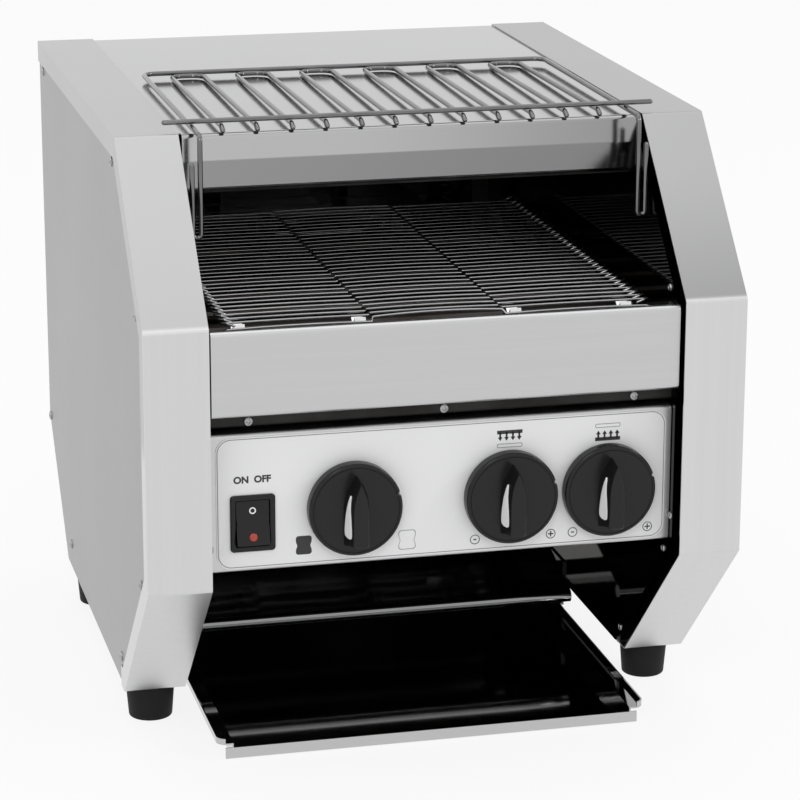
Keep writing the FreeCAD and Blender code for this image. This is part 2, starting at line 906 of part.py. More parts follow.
def gearmotor():
    """Flat gearbox on the right inner wall, with its motor and the shaft's bore."""
    z_low = axis_z - gearbox_height / 2 - gearbox_drop
    y0 = rear_axis_y - gearbox_depth / 2
    gearbox = box(
        wall_outer, wall_outer + gearbox_width, y0, y0 + gearbox_depth, z_low, z_low + gearbox_height,
    )
    motor_start = Vector(wall_outer + gearbox_width, rear_axis_y, z_low + motor_radius + 2)
    motor = prism(motor_start, ALONG_X, motor_radius, motor_width, motor_sides)
    pocket_end = shaft_end + bearing_pocket_gap
    pocket = square_bar(rear_axis_y, wall_outer - 1, pocket_end, bearing_block + 2 * seat_gap)
    centre = Vector(wall_outer - 1, rear_axis_y, axis_z)
    bore_length = drive_shaft_end - wall_outer + bearing_pocket_gap
    bore = cylinder(centre, ALONG_X, shaft_radius + shaft_clearance, bore_length + 1)
    return fused(gearbox, motor).cut([pocket, bore])


def heaters(first_back, z):
    """A row of straight heater tubes across the belt."""
    reach = wall_inner - holder_width
    solids = []
    for tube in range(heater_count):
        y = front + first_back + tube * heater_step
        solids.append(prism(Vector(-reach, y, z), ALONG_X, heater_radius, 2 * reach, heater_sides))
    return group(solids)


def heater_holders():
    """Bars on the inner walls that carry the ends of the heater tubes."""
    solids = []
    for first_back, z in (
        (upper_heater_first, upper_heater_z),
        (lower_heater_first, lower_heater_z),
    ):
        y0 = front + first_back - holder_overhang
        y1 = front + first_back + (heater_count - 1) * heater_step + holder_overhang
        bar = box(
            wall_inner - holder_width, wall_inner, y0, y1, z - holder_height / 2, z + holder_height / 2,
        )
        solids += [bar, mirrored(bar)]
    return group(solids)


def upper_reflector():
    """Reflector over the upper heaters, open towards the belt."""
    y0 = front + upper_heater_first - reflector_margin
    y1 = front + upper_heater_first + (heater_count - 1) * heater_step + reflector_margin
    z1 = upper_heater_z + reflector_rise
    z0 = z1 - upper_reflector_lip
    path = section([(y1, z0), (y1, z1), (y0, z1), (y0, z0)])
    return strip(path, sheet, -fitted, fitted)


def lower_reflector():
    """Reflector between the lower heaters and the belt's return run."""
    y0 = front + lower_heater_first - reflector_margin
    y1 = front + lower_heater_first + (heater_count - 1) * heater_step + reflector_margin
    z0 = lower_heater_z - lower_reflector_drop
    z1 = z0 + lower_reflector_lip
    path = section([(y0, z1), (y0, z0), (y1, z0), (y1, z1)])
    return strip(path, sheet, -fitted, fitted)


def chute_height(back):
    """Height of the chute's straight top face at a distance behind the front."""
    nose_top = chute_nose_height + chute_nose_radius
    return base + nose_top + (back - chute_nose_back) * math.tan(math.radians(chute_angle))


def toast_chute():
    """Slide under the belt: rolled front edge, straight slope, curved rear guide."""
    guide_back = body_depth - chute_rear_gap
    path = section([
        (front + chute_nose_back, chute_height(chute_nose_back) - chute_sheet),
        (front + guide_back, chute_height(guide_back) - chute_sheet),
        (front + guide_back, top - chute_top_gap),
        (rear - sheet - fit_gap, top - chute_top_gap),
    ])
    slide = strip(path, chute_sheet, -chute_half, chute_half, [chute_bend, bend])
    nose_centre = Vector(-chute_half, front + chute_nose_back, base + chute_nose_height)
    nose = cylinder(nose_centre, ALONG_X, chute_nose_radius, 2 * chute_half)
    return fused(slide, nose)


def chute_brackets():
    """Angles on the inner walls that carry the chute's rear half."""
    y0 = front + chute_bracket_back
    y1 = y0 + chute_bracket_length
    under = chute_sheet / math.cos(math.radians(chute_angle)) + seat_gap
    z0 = chute_height(chute_bracket_back) - under
    z1 = chute_height(chute_bracket_back + chute_bracket_length) - under
    tab = Part.Face(Part.makePolygon(section([
        (y0, z0), (y1, z1), (y1, z1 - wall_sheet), (y0, z0 - wall_sheet), (y0, z0),
    ])))
    inner = chute_half - cover_flange
    tab.translate(Vector(inner, 0, 0))
    tab = tab.extrude(Vector(fitted - inner, 0, 0))
    leg = box(fitted - wall_sheet, fitted, y0, y1, z1 - wall_sheet, z1 + chute_bracket_rise)
    low = box(fitted - wall_sheet, fitted, y0, y1, z0 - wall_sheet, z1)
    bracket = fused(tab, leg, low)
    return group([bracket, mirrored(bracket)])


def tray_runners():
    """Angles under the inner walls, which carry the tray by its side ledges."""
    y0 = front + runner_back
    y1 = y0 + runner_length
    ledge_under = tray_clear + tray_ledge_height - sheet
    flange_top = ledge_under - seat_gap
    inner = tray_floor_half + sheet + runner_tray_gap
    flange = box(inner, fitted, y0, y1, flange_top - wall_sheet, flange_top)
    leg = box(fitted - wall_sheet, fitted, y0, y1, flange_top - wall_sheet, base + runner_rise)
    runner = fused(flange, leg)
    return group([runner, mirrored(runner)])


def tray_plan(inset, y_end):
    """Outline of the tray seen from above, with two rounded front corners."""
    w = tray_half - inset
    y = front + tray_front_back + inset
    radius = max(tray_corner - inset, 0.0)
    points = [Vector(w, y_end, 0), Vector(w, y, 0), Vector(-w, y, 0), Vector(-w, y_end, 0)]
    edges = rounded_path(points, [radius, radius])
    edges.append(Part.makeLine(points[-1], points[0]))
    return Part.Face(Part.Wire(edges))


def collection_tray():
    """Low tray of folded sheet, with stepped sides and a front lip."""
    y_front = front + tray_front_back
    y_end = y_front + tray_length
    z0 = tray_clear
    ledge = z0 + tray_ledge_height
    rim_top = z0 + tray_rim_height
    floor_w = tray_floor_half
    outer = tray_plan(0.0, y_end).extrude(UP * rim_top)
    outer = outer.cut(tray_plan(sheet, y_end + 1).extrude(UP * (rim_top + 1)))
    outer = outer.common(box(-half, half, y_front - 1, y_end, ledge - sheet, rim_top))
    keep_out = box(-tray_lip_half, tray_lip_half, y_front - 1, y_front + 20, z0, rim_top + 1)
    rim = outer.cut(keep_out)
    shelf = tray_plan(0.0, y_end).extrude(UP * sheet)
    shelf.translate(UP * (ledge - sheet))
    middle = box(-floor_w, floor_w, y_front - 1, y_end + 1, 0, ledge + 1)
    shelf = shelf.cut(middle)
    wall = box(floor_w, floor_w + sheet, y_front, y_end, z0, ledge)
    floor = box(-floor_w - sheet, floor_w + sheet, y_front, y_end, z0, z0 + sheet)
    lip = box(-tray_lip_half, tray_lip_half, y_front, y_front + sheet, z0, z0 + tray_lip_height)
    tail = box(-floor_w, floor_w, y_end - sheet, y_end, z0, z0 + tray_lip_height)
    return fused(floor, wall, mirrored(wall), shelf, rim, lip, tail)


def bent(points, radii):
    """The path with each corner cut into short chords of an arc."""
    path = [points[0]]
    for previous, corner, following, radius in zip(points, points[1:], points[2:], radii):
        back = (previous - corner).normalize()
        ahead = (following - corner).normalize()
        half_angle = math.acos(back.dot(ahead)) / 2
        cut = radius / math.tan(half_angle)
        crown = (back + ahead).normalize() * (radius / math.sin(half_angle) - radius)
        path += [corner + back * cut, corner + crown, corner + ahead * cut]
    path.append(points[-1])
    kept = [path[0]]
    for point in path[1:]:
        if (point - kept[-1]).Length > 0.01:
            kept.append(point)
    return kept


def wire_along(points, radii):
    """Wire along a path, as a ring of flat sides carried from chord to chord."""
    path = bent(points, radii)
    directions = [(b - a).normalize() for a, b in zip(path, path[1:])]
    rings = [polygon(path[0], directions[0], rack_wire_radius, rack_wire_sides)[:-1]]
    for place, arriving, leaving in zip(path[1:], directions, directions[1:] + directions[-1:]):
        normal = (arriving + leaving).normalize()
        moved = []
        for corner in rings[-1]:
            travel = (place - corner).dot(normal) / arriving.dot(normal)
            moved.append(corner + arriving * travel)
        rings.append(moved)
    faces = [Part.Face(Part.makePolygon(rings[0] + rings[0][:1]))]
    for ring_a, ring_b in zip(rings, rings[1:]):
        for k in range(rack_wire_sides):
            n = (k + 1) % rack_wire_sides
            quad = [ring_a[k], ring_a[n], ring_b[n], ring_b[k], ring_a[k]]
            faces.append(Part.Face(Part.makePolygon(quad)))
    faces.append(Part.Face(Part.makePolygon(rings[-1] + rings[-1][:1])))
    solid = Part.Solid(Part.Shell(faces))
    return solid if solid.Volume > 0 else solid.reversed()


def rack_frame():
    """Bent wire round the back and sides of the rack, with a hanging clip at each front end."""
    z = cover_top + rack_lift
    y_leg = front + rack_leg_back
    y_back = front + rack_back
    x = rack_half
    low = z - rack_leg_length
    x_out = x + rack_leg_spread
    side = [
        Vector(x, y_back, z),
        Vector(x, y_leg, z),
        Vector(x, y_leg, low),
        Vector(x_out, y_leg, low),
        Vector(x_out, y_leg, low + rack_leg_return),
    ]
    points = [Vector(-p.x, p.y, p.z) for p in side[::-1]] + side
    turn = rack_leg_spread / 2
    radii = [turn, turn, rack_leg_bend, rack_corner, rack_corner, rack_leg_bend, turn, turn]
    return wire_along(points, radii)


def rack_rail():
    """Long straight wire laid across the front of the rack."""
    z = cover_top + rack_lift + 2 * rack_wire_radius + weld_gap
    reach = seam + rack_rail_overhang
    start = Vector(-reach, front + rack_rail_back, z)
    return prism(start, ALONG_X, rack_wire_radius, 2 * reach, rack_wire_sides)


def rack_wires():
    """Hairpin wires from front to back, whose closed ends lie on the cover as feet."""
    z = cover_top + rack_lift
    foot_z = cover_top + seat_gap + rack_wire_radius
    reach = 2 * rack_wire_radius + weld_gap
    y_foot = front + rack_back - math.sqrt(reach ** 2 - (z - foot_z) ** 2)
    solids = []
    for hairpin in range(rack_hairpins):
        x0 = (2 * hairpin - rack_hairpins + 0.5) * rack_spacing
        x1 = x0 + rack_spacing
        points = [
            Vector(x0, front + rack_tip_back, z),
            Vector(x0, y_foot, foot_z),
            Vector(x1, y_foot, foot_z),
            Vector(x1, front + rack_tip_back, z),
        ]
        solids.append(wire_along(points, [rack_corner, rack_corner]))
    return group(solids)


def height_inside_slope(back, inset):
    """Height of a point at a distance behind the front, and at a distance from the slope."""
    length = math.hypot(slope_run, slope_drop)
    return body_height - slope_drop + (back * slope_drop - inset * length) / slope_run


def side_screws():
    """Screw heads round both side panels."""
    places = [
        (body_depth - side_screw_inset, body_height - side_screw_inset),
        (body_depth - rear_screw_inset, rear_chamfer_rise),
        (body_depth - rear_chamfer_run - side_screw_inset, side_screw_inset),
        (slope_run + side_screw_inset, body_height - side_screw_inset),
        (slope_screw_back, height_inside_slope(slope_screw_back, slope_screw_inset)),
        (slope_screw_back, lower_slope_rise - slope_screw_rise),
        (lower_slope_run + side_screw_inset - slope_screw_rise, side_screw_inset),
    ]
    solids = []
    for back, height in places:
        start = Vector(side_outer, front + back, base + height)
        head = prism(start, ALONG_X, side_screw_radius, screw_height, screw_sides)
        solids += [head, mirrored(head)]
    return group(solids)


def front_screws():
    """Screw heads on the heat shield's lip and on the inner walls beside the front."""
    solids = []
    lip = front + shield_setback
    for side in (-1, 0, 1):
        x = side * (wall_inner - shield_screw_inset)
        start = Vector(x, lip - screw_height, shield_lip_top - shield_screw_drop)
        solids.append(prism(start, ALONG_Y, screw_radius, screw_height, screw_sides))
    for back, height in (
        (wall_recess + wall_screw_inset, body_height - slope_drop + slope_screw_rise),
        (wall_recess + wall_screw_radius + fit_gap, lower_slope_rise + wall_screw_rise),
        (wall_recess + wall_screw_inset, lower_slope_rise - slope_screw_rise),
        (lower_slope_run + slope_screw_rise, wall_screw_inset),
    ):
        start = Vector(wall_inner - screw_height, front + back, base + height)
        head = prism(start, ALONG_X, wall_screw_radius, screw_height, screw_sides)
        solids += [head, mirrored(head)]
    return group(solids)


def main():
    os.makedirs("parts", exist_ok=True)
    for node, maker in (
        ("cheek_cover", cheek_cover),
        ("side_panel", side_panel),
        ("inner_wall", inner_wall),
        ("base_channel", base_channel),
    ):
        shape = maker()
        save(node + "_right", shape)
        save(node + "_left", mirrored(shape))
    save("top_cover", top_cover())
    save("rear_panel", rear_panel())
    save("cable_gland", cable_gland())
    save("feet", feet())
    save("front_fascia", front_fascia())
    save("control_panel", control_panel())
    save("panel_label", panel_label())
    save("switch_frame", switch_frame())
    save("switch_rocker", switch_rocker())
    for name, x in knob_places.items():
        save("knob_" + name, knob(x))
        save("spindle_" + name, spindle(x))
    save("regulators", regulators())
    save("heat_shield", heat_shield())
    save("wire_belt", wire_belt())
    save("front_shaft", shaft(front_axis_y, shaft_end))
    save("front_wheels", wheels(front_axis_y))
    save("drive_shaft", shaft(rear_axis_y, drive_shaft_end))
    save("drive_wheels", wheels(rear_axis_y))
    save("shaft_bearings", shaft_bearings())
    save("gearmotor", gearmotor())
    save("upper_heaters", heaters(upper_heater_first, upper_heater_z))
    save("lower_heaters", heaters(lower_heater_first, lower_heater_z))
    save("heater_holders", heater_holders())
    save("upper_reflector", upper_reflector())
    save("lower_reflector", lower_reflector())
    save("toast_chute", toast_chute())
    save("chute_brackets", chute_brackets())
    save("tray_runners", tray_runners())
    save("collection_tray", collection_tray())
    save("rack_frame", rack_frame())
    save("rack_rail", rack_rail())
    save("rack_wires", rack_wires())
    save("side_screws", side_screws())
    save("front_screws", front_screws())


main()
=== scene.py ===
import math

import bmesh
import bpy
import numpy as np
from bpy.props import FloatProperty, FloatVectorProperty, IntProperty, PointerProperty, StringProperty
from mathutils import Matrix, Vector


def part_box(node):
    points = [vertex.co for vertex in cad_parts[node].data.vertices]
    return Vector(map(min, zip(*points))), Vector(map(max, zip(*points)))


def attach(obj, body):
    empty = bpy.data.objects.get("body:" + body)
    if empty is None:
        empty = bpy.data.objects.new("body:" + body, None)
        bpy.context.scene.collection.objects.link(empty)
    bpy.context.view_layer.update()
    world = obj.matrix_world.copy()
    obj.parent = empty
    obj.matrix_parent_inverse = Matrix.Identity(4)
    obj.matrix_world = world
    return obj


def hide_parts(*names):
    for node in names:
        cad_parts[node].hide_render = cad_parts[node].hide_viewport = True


bl_info = {
    "name": "Conveyor toaster",
    "version": (1, 0, 0),
    "blender": (4, 5, 0),
    "location": "3D view > Sidebar > Toaster",
    "description": "Dresses a conveyor toaster: brushed casing, wire belt, controls, rack and studio",
    "category": "Object",
}

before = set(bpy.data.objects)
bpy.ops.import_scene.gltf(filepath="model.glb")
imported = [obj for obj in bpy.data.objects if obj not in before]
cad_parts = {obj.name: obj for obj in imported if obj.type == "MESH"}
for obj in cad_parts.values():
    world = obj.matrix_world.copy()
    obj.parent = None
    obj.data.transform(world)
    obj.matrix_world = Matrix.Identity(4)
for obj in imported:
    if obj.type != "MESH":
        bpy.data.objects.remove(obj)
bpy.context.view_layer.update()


def span(node):
    """Lowest and highest corner of a node, as arrays in metres."""
    low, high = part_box(node)
    return np.array(low), np.array(high)


def middle(node):
    """Centre of a node's box, in metres."""
    low, high = span(node)
    return (low + high) / 2


def lumps(node):
    """Boxes of the separate solids in a node, as rows of low and high corners.

    Corners that share a place are one point; points joined by a triangle are one solid,
    found by passing the smallest label along the triangles until nothing changes.
    """
    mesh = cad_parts[node].data
    places = np.empty(len(mesh.vertices) * 3)
    mesh.vertices.foreach_get("co", places)
    places = places.reshape(-1, 3)
    _, same = np.unique(np.round(places, 6), axis=0, return_inverse=True)
    corners = np.empty(len(mesh.loops), dtype=np.int64)
    mesh.loops.foreach_get("vertex_index", corners)
    triangles = same.reshape(-1)[corners].reshape(-1, 3)
    labels = np.arange(same.max() + 1)
    while True:
        lowest = labels[triangles].min(axis=1)
        passed = labels.copy()
        np.minimum.at(passed, triangles.reshape(-1), np.repeat(lowest, 3))
        if np.array_equal(passed, labels):
            break
        labels = passed
    owner = labels[same.reshape(-1)]
    boxes = []
    for label in np.unique(owner):
        chosen = places[owner == label]
        boxes.append((chosen.min(axis=0), chosen.max(axis=0)))
    return boxes


class Level:
    """A number in a material; arithmetic on it adds Math nodes and gives a new number."""

    def __init__(self, finish, socket):
        self.finish = finish
        self.socket = socket

    def maths(self, operation, first, second):
        """The number that a Math node makes of two others."""
        node = self.finish.node("ShaderNodeMath", {"operation": operation}, {0: first, 1: second})
        return Level(self.finish, node.outputs[0])

    def __add__(self, other):
        """This number and another together."""
        return self.maths("ADD", self, other)

    __radd__ = __add__

    def __sub__(self, other):
        """This number less another."""
        return self.maths("SUBTRACT", self, other)

    def __rsub__(self, other):
        """Another number less this one."""
        return self.maths("SUBTRACT", other, self)

    def __mul__(self, other):
        """This number times another."""
        return self.maths("MULTIPLY", self, other)

    def spread(self, low, high):
        """The number's place between two ends, from 0 to 1, with a soft start and stop."""
        node = self.finish.node(
            "ShaderNodeMapRange",
            {"clamp": True, "interpolation_type": "SMOOTHSTEP"},
            {"Value": self, "From Min": low, "From Max": high},
        )
        return Level(self.finish, node.outputs["Result"])


class Nodes:
    """A tree of shader nodes, of a material or the world, emptied if asked."""

    def __init__(self, tree, empty=False):
        self.tree = tree
        if empty:
            tree.nodes.clear()

    def node(self, kind, settings=None, sockets=None):
        """A node of a kind, with its settings made first and then its sockets set or linked."""
        node = self.tree.nodes.new(kind)
        for name, value in (settings or {}).items():
            setattr(node, name, value)
        for name, value in (sockets or {}).items():
            self.join(node.inputs[name], value)
        return node

    def join(self, socket, value):
        """Sets a socket to a number or colour, or links it to a Level or a socket."""
        if isinstance(value, Level):
            self.tree.links.new(value.socket, socket)
        elif isinstance(value, bpy.types.NodeSocket):
            self.tree.links.new(value, socket)
        else:
            socket.default_value = value


class Finish(Nodes):
    """One material while it is built: its shader, with even values on the sockets."""

    def __init__(self, name, **even):
        self.material = bpy.data.materials.new(name)
        self.material.use_nodes = True
        super().__init__(self.material.node_tree)
        self.shader = self.tree.nodes["Principled BSDF"]
        for socket, value in even.items():
            self.shader.inputs[socket.replace("_", " ")].default_value = value
        self.place = self.node("ShaderNodeTexCoord").outputs["Object"]

    def stretched(self, scale):
        """Object coordinates stretched by a scale for each axis, per metre."""
        node = self.node("ShaderNodeMapping", None, {"Vector": self.place, "Scale": scale})
        return node.outputs["Vector"]

    def noise(self, scale, detail=2.0, rough=0.5, place=None):
        """Cloudy noise, from 0 to 1, at a number of lumps per metre."""
        node = self.node(
            "ShaderNodeTexNoise",
            None,
            {"Vector": place or self.place, "Scale": scale, "Detail": detail, "Roughness": rough},
        )
        return Level(self, node.outputs["Fac"])

    def axis(self, letter):
        """One Object coordinate, in metres."""
        node = self.node("ShaderNodeSeparateXYZ", None, {"Vector": self.place})
        return Level(self, node.outputs[letter])

    def blend(self, share, first, second):
        """Two colours mixed by a share."""
        node = self.node(
            "ShaderNodeMix",
            {"data_type": "RGBA"},
            {"Factor": share, 6: self.opaque(first), 7: self.opaque(second)},
        )
        return node.outputs[2]

    @staticmethod
    def opaque(colour):
        """A colour with its fourth channel, or a socket as it is."""
        return colour if isinstance(colour, bpy.types.NodeSocket) else (*colour, 1.0)

    def relief(self, height, depth, strength):
        """Bump of a height field, its depth in metres at height 1."""
        node = self.node(
            "ShaderNodeBump", None, {"Height": height, "Distance": depth, "Strength": strength}
        )
        self.join(self.shader.inputs["Normal"], node.outputs["Normal"])

    def sheds(self, socket, value):
        """Gives one of the shader's sockets a value, a Level or a colour."""
        self.join(self.shader.inputs[socket], value)


def shade(colour, factor):
    """A colour made lighter or darker by a factor, up to white."""
    return tuple(min(1.0, channel * factor) for channel in colour)


def drawn_out(grain_axis, across, along):
    """Scales for a noise of long streaks: lumps per metre along one axis and across it."""
    return tuple(along if letter == grain_axis else across for letter in "XYZ")


def brushed(name, colour, roughness, grain_axis, painted_light_and_shade=()):
    """Sheet steel with fine drawn lines along one axis, and faint clouds of handling.

    A facet is a part of the sheet, such as a fold, given another tone as painted light and shade:
    a pair of the tone and its ranges. Each range is an axis with two places; over it the facet sets in.
    """
    finish = Finish(name, Metallic=1.0)
    fine = finish.noise(1.0, 3.0, 0.6, finish.stretched(drawn_out(grain_axis, 2600.0, 12.0)))
    bands = finish.noise(1.0, 2.0, 0.5, finish.stretched(drawn_out(grain_axis, 260.0, 3.0)))
    clouds = finish.noise(9.0, 3.0)
    finish.sheds("Roughness", roughness + (fine - 0.5) * 0.05 + (clouds - 0.5) * 0.05)
    tone = (fine * 0.5 + bands * 0.5).spread(0.2, 0.8)
    shown = finish.blend(tone, shade(colour, 0.965), shade(colour, 1.02))
    for factor, ranges in painted_light_and_shade:
        share = 1.0
        for letter, start, end in ranges:
            place = finish.axis(letter)
            reached = place.spread(start, end) if start < end else 1 - place.spread(end, start)
            share = reached * share
        # Painted light and shade: over each facet the colour takes the facet's tone.
        shown = finish.blend(share, shown, shade(colour, factor))
    finish.sheds("Base Color", shown)
    finish.relief(fine * 0.7 + bands * 0.3, 0.000012, 0.55)
    return finish.material


def mirror_steel(name, colour, edge=(1.0, 1.0, 1.0, 1.0)):
    """Bright rolled steel, with long soft waves and a few fine scuffs; edge tints a low view."""
    finish = Finish(name, Metallic=1.0, Specular_Tint=edge)
    scuffs = finish.noise(1.0, 4.0, 0.65, finish.stretched((700.0, 90.0, 700.0)))
    waves = finish.noise(7.0, 1.0)
    marks = scuffs.spread(0.62, 0.78)
    finish.sheds("Roughness", 0.055 + marks * 0.08 + (waves - 0.5) * 0.02)
    finish.sheds("Base Color", finish.blend(marks, colour, shade(colour, 0.9)))
    finish.relief(waves, 0.0006, 0.25)
    return finish.material


def oxidised(name, colour, warm, roughness):
    """Steel beside the heaters: dulled, with straw and brown bloom in clouds."""
    finish = Finish(name, Metallic=1.0)
    bloom = finish.noise(16.0, 4.0, 0.6).spread(0.35, 0.7)
    fine = finish.noise(900.0, 2.0)
    finish.sheds("Base Color", finish.blend(bloom, colour, warm))
    finish.sheds("Roughness", roughness + bloom * 0.12 + (fine - 0.5) * 0.05)
    finish.relief(fine, 0.000015, 0.4)
    return finish.material


def drawn_wire(name, colour, roughness):
    """Round drawn wire, with die lines too fine to see singly."""
    finish = Finish(name, Metallic=1.0)
    lines = finish.noise(1400.0, 2.0)
    clouds = finish.noise(60.0, 2.0)
    finish.sheds("Base Color", finish.blend(clouds.spread(0.3, 0.7), shade(colour, 0.86), colour))
    finish.sheds("Roughness", roughness + (lines - 0.5) * 0.08)
    finish.relief(lines, 0.000008, 0.35)
    return finish.material


def moulded(name, colour, roughness, grain=900.0, depth=0.00002):
    """Moulded plastic with a fine spark-eroded grain and slightly polished patches."""
    finish = Finish(name, Specular_IOR_Level=0.3)
    texture = finish.noise(grain, 3.0, 0.6)
    handled = finish.noise(45.0, 2.0).spread(0.35, 0.75)
    finish.sheds("Base Color", finish.blend(handled, colour, shade(colour, 1.12)))
    finish.sheds("Roughness", roughness + (texture - 0.5) * 0.08 - handled * 0.05)
    finish.relief(texture, depth, 0.5)
    return finish.material


def rubber(name, colour):
    """Moulded rubber with dust settled lightly on it."""
    finish = Finish(name, Specular_IOR_Level=0.2)
    dust = finish.noise(120.0, 4.0, 0.6).spread(0.5, 0.8)
    grain = finish.noise(1500.0, 2.0)
    finish.sheds("Base Color", finish.blend(dust, colour, shade(colour, 1.7)))
    finish.sheds("Roughness", 0.62 + dust * 0.15)
    finish.relief(grain, 0.00003, 0.5)
    return finish.material


def print_film(name, colour):
    """Matt printed film: a very fine grain with a low sheen."""
    finish = Finish(name)
    grain = finish.noise(2200.0, 2.0)
    clouds = finish.noise(12.0, 2.0)
    finish.sheds("Base Color", finish.blend(clouds, shade(colour, 0.985), shade(colour, 1.01)))
    finish.sheds("Roughness", 0.42 + (grain - 0.5) * 0.1)
    finish.relief(grain, 0.000008, 0.4)
    return finish.material


def ink(name, colour, roughness=0.5):
    """Screen printed ink, slightly uneven in its cover."""
    finish = Finish(name)
    cover = finish.noise(1800.0, 2.0).spread(0.2, 0.8)
    finish.sheds("Base Color", finish.blend(cover, colour, shade(colour, 1.15)))
    finish.sheds("Roughness", roughness + cover * 0.05)
    return finish.material


def painted(name, colour, roughness):
    """Sprayed paint with a light orange peel."""
    finish = Finish(name)
    peel = finish.noise(420.0, 2.0)
    clouds = finish.noise(30.0)
    finish.sheds("Base Color", finish.blend(clouds, shade(colour, 0.95), shade(colour, 1.05)))
    finish.sheds("Roughness", roughness + (peel - 0.5) * 0.06)
    finish.relief(peel, 0.00003, 0.4)
    return finish.material


def lamp_lens(name, colour):
    """Unlit red lens: deep, glossy, with a faint ribbed prism inside."""
    finish = Finish(name, Coat_Weight=0.15, Coat_Roughness=0.08, Roughness=0.25)
    ribs = finish.noise(1.0, 1.0, 0.5, finish.stretched((3500.0, 10.0, 10.0)))
    finish.sheds("Base Color", finish.blend(ribs.spread(0.3, 0.7), colour, shade(colour, 1.5)))
    finish.relief(ribs, 0.00004, 0.4)
    return finish.material


def use(nodes, material):
    """Gives every slot of CAD nodes, named in one text, a material."""
    for node in nodes.split():
        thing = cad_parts[node]
        if not thing.material_slots:
            thing.data.materials.append(material)
        for holder in thing.material_slots:
            holder.link = "OBJECT"
            holder.material = material


def quads(rows, columns, round_rows=False):
    """Corner numbers of the squares of a grid whose rows close; its columns may close too."""
    row = np.arange(rows if round_rows else rows - 1)
    r, c = np.meshgrid(row, np.arange(columns), indexing="ij")
    r2, c2 = (r + 1) % rows, (c + 1) % columns
    corners = np.stack([r * columns + c, r * columns + c2, r2 * columns + c2, r2 * columns + c], -1)
    return corners.reshape(-1, 4)


def placed(name, data):
    """A new object in the scene that holds a mesh, a text, a light or a camera."""
    thing = bpy.data.objects.new(name, data)
    bpy.context.scene.collection.objects.link(thing)
    return thing


def piece(name, points, faces, material, body, smooth_angle):
    """A mesh from points and squares or triangles, riding on a body, with outward faces."""
    mesh = bpy.data.meshes.new(name)
    mesh.from_pydata(points.reshape(-1, 3).tolist(), [], [list(face) for face in faces])
    mesh.validate()
    mesh.update()
    thing = placed(name, mesh)
    mesh.materials.append(material)
    outward(mesh)
    mesh.shade_smooth()
    mesh.set_sharp_from_angle(angle=math.radians(smooth_angle))
    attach(thing, body)
    return thing


def outward(mesh):
    """Turns the faces of closed shells outwards, after doubled points are merged."""
    work = bmesh.new()
    work.from_mesh(mesh)
    bmesh.ops.remove_doubles(work, verts=work.verts, dist=1e-7)
    bmesh.ops.recalc_face_normals(work, faces=work.faces)
    work.to_mesh(mesh)
    work.free()


def turned(profile, steps):
    """Surface of revolution about Z: each (radius, height) pair swept through a full turn.

    Rows follow the profile; a radius of 0 closes a pole, where its ring falls on one point.
    """
    profile = np.asarray(profile, float)
    angle = np.linspace(0.0, 2 * np.pi, steps, endpoint=False)
    x = profile[:, :1] * np.cos(angle)
    y = profile[:, :1] * np.sin(angle)
    z = np.repeat(profile[:, 1:], steps, axis=1)
    return np.stack([x, y, z], -1), quads(len(profile), steps)


def filleted(corners, radii, chords=5):
    """Path through corners, each replaced by points on a tangent arc of its radius.

    For a corner with unit directions in and out, the arc's centre lies on their bisector at
    radius / sin(half angle); its points are radius * (cos t, sin t) from tangent to tangent.
    """
    corners = np.asarray(corners, float)
    path = [corners[:1]]
    for before, corner, after, radius in zip(corners, corners[1:], corners[2:], radii):
        back = (before - corner) / np.linalg.norm(before - corner)
        ahead = (after - corner) / np.linalg.norm(after - corner)
        half = np.arccos(np.clip(back @ ahead, -1, 1)) / 2
        middle_way = (back + ahead) / np.linalg.norm(back + ahead)
        centre = corner + middle_way * radius / np.sin(half)
        start = corner + back * radius / np.tan(half) - centre
        t = np.linspace(0.0, np.pi - 2 * half, chords)[:, None]
        path.append(centre + start * np.cos(t) - back * radius * np.sin(t))
    path.append(corners[-1:])
    return np.concatenate(path)


def tube(path, radius, sides, reference):
    """Round wire along a path, with domed ends.

    Ring k lies in the plane square to the path there: its axes are the reference direction
    made square to the tangent, and the cross product of both. The end rings shrink to the
    path's end points over a quarter turn, so the ends are half round.
    """
    path = np.asarray(path, float)
    tangent = np.gradient(path, axis=0)
    tangent /= np.linalg.norm(tangent, axis=1, keepdims=True)
    quarter = np.linspace(0.0, np.pi / 2, 4)[1:]
    head = path[0] - tangent[0] * radius * np.sin(quarter[::-1])[:, None]
    tail = path[-1] + tangent[-1] * radius * np.sin(quarter)[:, None]
    centre = np.concatenate([head, path, tail])
    grow = np.concatenate([np.cos(quarter[::-1]), np.ones(len(path)), np.cos(quarter)]) * radius
    head_way, tail_way = (np.repeat(tangent[[end]], len(quarter), 0) for end in (0, -1))
    along = np.concatenate([head_way, tangent, tail_way])
    side = np.asarray(reference, float) - along * (along @ np.asarray(reference, float))[:, None]
    side /= np.linalg.norm(side, axis=1, keepdims=True)
    other = np.cross(along, side)
    angle = np.linspace(0.0, 2 * np.pi, sides, endpoint=False)
    ring = side[:, None] * np.cos(angle)[:, None] + other[:, None] * np.sin(angle)[:, None]
    points = centre[:, None] + ring * grow[:, None, None]
    return points, quads(len(centre), sides)


def gathered(parts):
    """Several grids of points and faces as one, with their corner numbers shifted."""
    points, faces, first = [], [], 0
    for part_points, part_faces in parts:
        flat = part_points.reshape(-1, 3)
        points.append(flat)
        faces += [[corner + first for corner in face] for face in np.asarray(part_faces).tolist()]
        first += len(flat)
    return np.concatenate(points), faces


